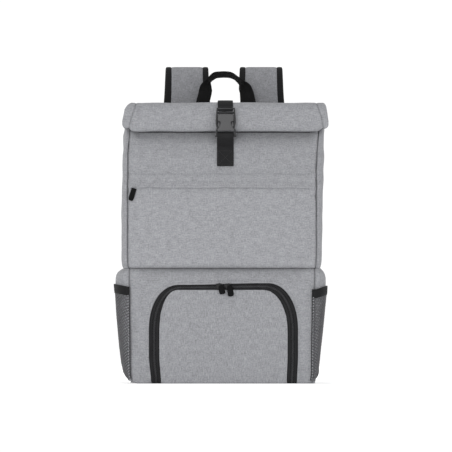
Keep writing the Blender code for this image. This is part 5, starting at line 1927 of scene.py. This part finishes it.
@dataclass
class GrabHandle:
    """The loop of webbing at the top of the back, turned flat to the hand."""

    width: float = 0.0200
    thick: float = 0.0024
    stations: tuple[Triple, ...] = (
        (-0.0330, 0.3843, 0), (-0.0312, 0.4060, 0), (-0.0290, 0.4225, 0), (-0.0264, 0.4330, 0),
        (-0.0250, 0.4400, 0), (-0.0240, 0.4462, 28), (-0.0200, 0.4553, 70), (-0.0115, 0.4632, 62),
        (-0.0037, 0.4647, 63), (0.0045, 0.4650, 63), (0.0130, 0.4640, 64), (0.0209, 0.4598, 71),
        (0.0302, 0.4518, 62), (0.0350, 0.4455, 33), (0.0366, 0.4400, 8), (0.0386, 0.4335, 0),
        (0.0409, 0.4225, 0), (0.0430, 0.4060, 0), (0.0448, 0.3843, 0))

    def build(self) -> None:
        """Make the handle through stations of (x, height, twist in degrees)."""
        y = PAD_FRONT + 0.0045
        rows = np.array([(x, y, z) for x, z, _ in self.stations])
        route = resample(rows, 150)
        steps = steps_of(rows)
        twist = [math.radians(row[2]) for row in self.stations]
        turn = np.interp(np.linspace(0.0, 1.0, len(route)), steps / steps[-1], twist)
        inward = unit(np.cross((0.0, 1.0, 0.0), directions(route)))
        to_middle = np.array((TOP_SHIFT, y, PAD_TOP)) - route
        inward *= np.where((inward * to_middle).sum(axis=1, keepdims=True) < 0, -1.0, 1.0)
        wide = inward * np.cos(turn)[:, None] + np.array((0.0, 1.0, 0.0)) * np.sin(turn)[:, None]
        Strap("handle_webbing", route, wide, self.width, self.thick, HANDLE_WEBBING,
              ("grab_handle",)).build()


@dataclass
class ShoulderStraps:
    """The padded straps with bound edges, and the webbing and adjusters below them.

    The stations give how far out, how high, how far aside and how wide, as shares.
    """

    width: float = 0.0640
    binding: float = 0.0095
    binding_thick: float = 0.0122
    core_thick: float = 0.0121
    tucked: float = 0.0025
    drawn_in: float = 0.0080
    pad: float = 0.0110
    top: float = 0.4745
    bottom: float = 0.1950
    standoff: float = 0.0680
    spacing: float = 0.0560
    shift: float = 0.0030
    rise: float = 0.0017
    tail_width: float = 0.0250
    tail_spread: float = 0.1180
    tail_anchor: float = 0.0300
    tail_height: float = 0.0300
    tail_thick: float = 0.0016
    adjuster: Triple = (0.0320, 0.0034, 0.0260)
    adjuster_slot: float = 0.0046
    adjuster_bar: float = 0.0036
    adjuster_drop: float = 0.0260
    stations: Array = field(default_factory=lambda: np.array((
        (0.110, 0.620, 0.98, 1.12), (0.135, 0.760, 1.00, 1.12), (0.200, 0.890, 1.00, 1.06),
        (0.340, 0.970, 1.00, 1.03), (0.520, 1.000, 1.00, 1.017), (0.720, 0.965, 1.00, 1.02),
        (0.870, 0.860, 1.02, 1.03), (0.960, 0.680, 1.07, 1.03), (1.000, 0.460, 1.17, 0.98),
        (0.960, 0.230, 1.32, 0.90), (0.860, 0.000, 1.48, 0.82))))

    def build(self) -> None:
        """Make both straps."""
        for side in Side:
            self.core(side)
            for edge in (-1, 1):
                self.edge(side, edge)
            self.webbing(side)

    def route(self, side: Side, share: Array, across: Array = 0.0) -> Array:
        """Points on a strap's middle surface."""
        out, height, aside, _ = (smooth_column(self.stations[:, column], share) for column in range(4))
        reach = self.top - self.pad / 2 - self.bottom
        raised = self.rise * ramp(height, start=0.8, reach=0.2)
        x = self.shift + side.value * self.spacing * aside + across + self.narrowing(side, share) / 2
        return points_of(x, PAD_BACK + self.standoff * out, self.bottom + reach * height + raised)

    def narrowing(self, side: Side, share: Array) -> Array:
        """How much the right strap's inner edge is drawn in just above the back."""
        return self.drawn_in * ramp(share, start=0.215, reach=-0.07) * (side is Side.RIGHT)

    def whole_width(self, side: Side, share: Array) -> Array:
        """The strap's width, its bindings included."""
        return self.width * smooth_column(self.stations[:, 3], share) - self.narrowing(side, share)

    def core(self, side: Side) -> None:
        """The padded middle, its edges tucked a little way into the bindings."""
        share = np.linspace(0.0, 1.0, 150)
        width = self.whole_width(side, share) - 2 * self.binding + 2 * self.tucked
        item = Strap(f"strap_pad_{side.word}", self.route(side, share), ASIDE, width, self.core_thick,
                     SHADED_STRAP_CLOTH, (f"shoulder_strap_{side.word}",), squareness=12.0, around=64).build()

    def edge(self, side: Side, edge: int) -> None:
        """One bound edge: tape folded round the pad's thin rim."""
        word = "outer" if edge > 0 else "inner"
        share = np.linspace(0.0, 1.0, 150)
        extra = 0.0042 if side is Side.LEFT and edge > 0 else 0.0018
        wide = self.binding + extra * np.clip((0.42 - share) / 0.30, 0.0, 1.0)
        middle = side.value * edge * (self.whole_width(side, share) - wide) / 2
        Strap(f"strap_edge_{side.word}_{word}", self.route(side, share, middle), ASIDE,
              wide, self.binding_thick, BINDING_TAPE,
              (f"strap_binding_{side.word}_{word}",), squareness=4.5, around=24).build()

    def cap(self, side: Side) -> None:
        """The tape sewn over the padded strap's lower end."""
        share = np.linspace(0.962, 1.0, 14)
        route = self.route(side, share)
        route[-1] += (route[-1] - route[-2]) * 0.8
        Strap(f"strap_end_{side.word}", route, ASIDE, self.whole_width(side, share) + 0.0016,
              self.pad + 0.0022, BINDING_TAPE, squareness=6.0, around=40).build()

    def webbing(self, side: Side) -> None:
        """The tab, the ladder-lock adjuster and the tail to the base, below a padded strap."""
        self.cap(side)
        wide, thick, long = self.adjuster
        end = self.route(side, np.array([1.0]))[0]
        anchor_y = PAD_BACK + TOUCH + self.tail_thick / 2
        anchor = np.array((side.value * self.tail_spread, anchor_y, self.tail_anchor))
        line = unit(anchor - end)
        centre = end + line * (self.pad * 0.35 + self.adjuster_drop)
        flat = unit(np.array((1.0, 0.0, 0.0)) - line * line[0])
        normal = unit(np.cross(line, flat))
        normal = normal * np.sign(normal[1])
        turn = Matrix(np.stack([flat, normal, np.cross(flat, normal)], axis=1).tolist()).to_4x4()
        bar, slot = self.adjuster_bar, self.adjuster_slot
        middle = long - 2 * (bar + slot)
        rail = (wide - self.tail_width) / 2
        parts = [block("middle", (wide * 0.9, thick * 0.8, middle), (0, 0, 0), 0.0008)]
        parts += [block("bar", (wide, thick, bar), (0, 0, sign * (long - bar) / 2), 0.0010) for sign in (1, -1)]
        parts += [block("rail", (rail - 0.0002, thick, long), (sign * (wide - rail) / 2, 0, 0), 0.0008)
                  for sign in (-1, 1)]
        lock = join(f"adjuster_{side.word}", parts)
        lock.matrix_world = Matrix.Translation(Vector(centre.tolist())) @ turn
        settle(lock)
        dress(lock, ADJUSTER_BLACK, f"strap_adjuster_{side.word}")
        behind = normal * (thick / 2 + self.tail_thick / 2 + TOUCH * 2)
        reach = long / 2 - bar - slot / 2
        tab = [end - line * 0.004, centre - line * (long / 2 + bar) + behind, centre - line * reach + behind,
               centre - line * reach - behind * 0.7]
        Strap(f"tab_{side.word}", resample(np.array(tab), 50), flat, self.tail_width, self.tail_thick,
              BLACK_WEBBING, (f"strap_tab_{side.word}",)).build()
        tail = [centre + line * reach - behind * 0.7, centre + line * reach + behind,
                centre + line * (long / 2 + bar) + behind, anchor + (0.0, 0.0, self.tail_height), anchor]
        share = ease(np.linspace(-0.6, 1.1, 110))[:, None]
        level = np.array((math.copysign(1.0, flat[0]), 0.0, 0.0))
        Strap(f"tail_{side.word}", resample(np.array(tail), 110), flat * (1 - share) + level * share,
              self.tail_width, self.tail_thick, BLACK_WEBBING, (f"strap_tail_{side.word}",)).build()


@dataclass
class BackPanel:
    """The padded panel that lies against the wearer."""

    half: float = 0.1465
    top: float = PAD_TOP
    front: float = PAD_FRONT
    back: float = PAD_BACK
    corner: float = 0.018
    border: float = 0.012

    def spread(self, u: Array, v: Array) -> tuple[Array, Array, Array]:
        """The place across and up, and the way in from the rim, of each corner of the grid."""
        across = 1 - 2 * dense_ends(1 - np.abs(1 - 2 * u))
        z = self.top * dense_ends(v)
        near = np.minimum(z, self.top - z)
        wide = self.half - self.corner + np.sqrt(self.corner ** 2 - np.maximum(self.corner - near, 0.0) ** 2)
        return across * wide, z, np.maximum(np.minimum((1 - np.abs(across)) * wide, near), 0.0)

    def build(self) -> None:
        """A quilted panel with two pads and a channel between them."""
        def place(u: Array, v: Array) -> Array:
            x, z, rim = self.spread(u, v)
            round_off = np.clip(rim / 0.004, 0.0, 1.0) ** 0.5
            channel = Ridge(0.0, 0.012).out(x) * np.clip(rim / 0.03, 0, 1)
            rows = Ridge(0.036, 0.0028).out((z - 0.048) % 0.072) * np.clip((np.abs(x) - 0.016) / 0.006, 0, 1)
            puff = 0.0035 * np.clip(rim / 0.012, 0, 1) ** 0.5 - 0.0045 * channel - 0.0024 * rows
            border = Ridge(self.border, 0.0020, -0.0014).out(rim)
            middle = (self.front + self.back) / 2
            behind = middle + (self.back - middle) * round_off + puff + border * np.clip(rim / 0.004, 0, 1)
            before = middle - (middle - self.front) * round_off
            return points_of(x, np.where(u < 0.5, behind, before), z)

        # Painted shade in the groove round the stitched border, on the face that lies against the wearer.
        def shade(u: Array, v: Array) -> Array:
            return Ridge(self.border, 0.0016).out(self.spread(u, v)[2]) * (u < 0.5)

        item = cloth("back_pad", place, 200, 200, closed=True, shade=shade, level=True)
        dress(item, BACK_MESH, "back_panel")


def pocket_pull() -> None:
    """The soft pull of the front pocket's zip, hanging from under the flap."""
    low, high = (Vector(corner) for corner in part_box("pocket_pull"))
    rows = [(0.0100, 0.0078), (0.0, 0.0080), (-0.0050, 0.0080), (-0.0078, 0.0068), (-0.0092, 0.0040)]
    place = (low + high) / 2 + Vector((-0.0042, 0.0, 0.0010))
    dress(hanging_tab("pocket_pull_tab", rows, 0.0022, place, 17.0), RUBBER, "pocket_pull")


def divider() -> None:
    """Finish the hidden divider between the compartments as cloth."""
    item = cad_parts["compartment_divider"]
    item.data.materials.clear()
    item.data.materials.append(BLACK_WEBBING.material())


def main() -> None:
    """Build and dress every sub-assembly, then the studio."""
    logging.basicConfig(level=logging.INFO, format="%(name)s: %(message)s")
    Studio().build()
    lower, roll = LowerCompartment(), RolledTop()
    for part in (UpperCompartment(), lower, DoorZip(lower), NetPockets(), roll, Closure(roll), GrabHandle(),
                 ShoulderStraps(), BackPanel()):
        part.build()
        log.info("built %s", type(part).__name__)
    pocket_pull()
    divider()


if __name__ == "__main__":
    main()
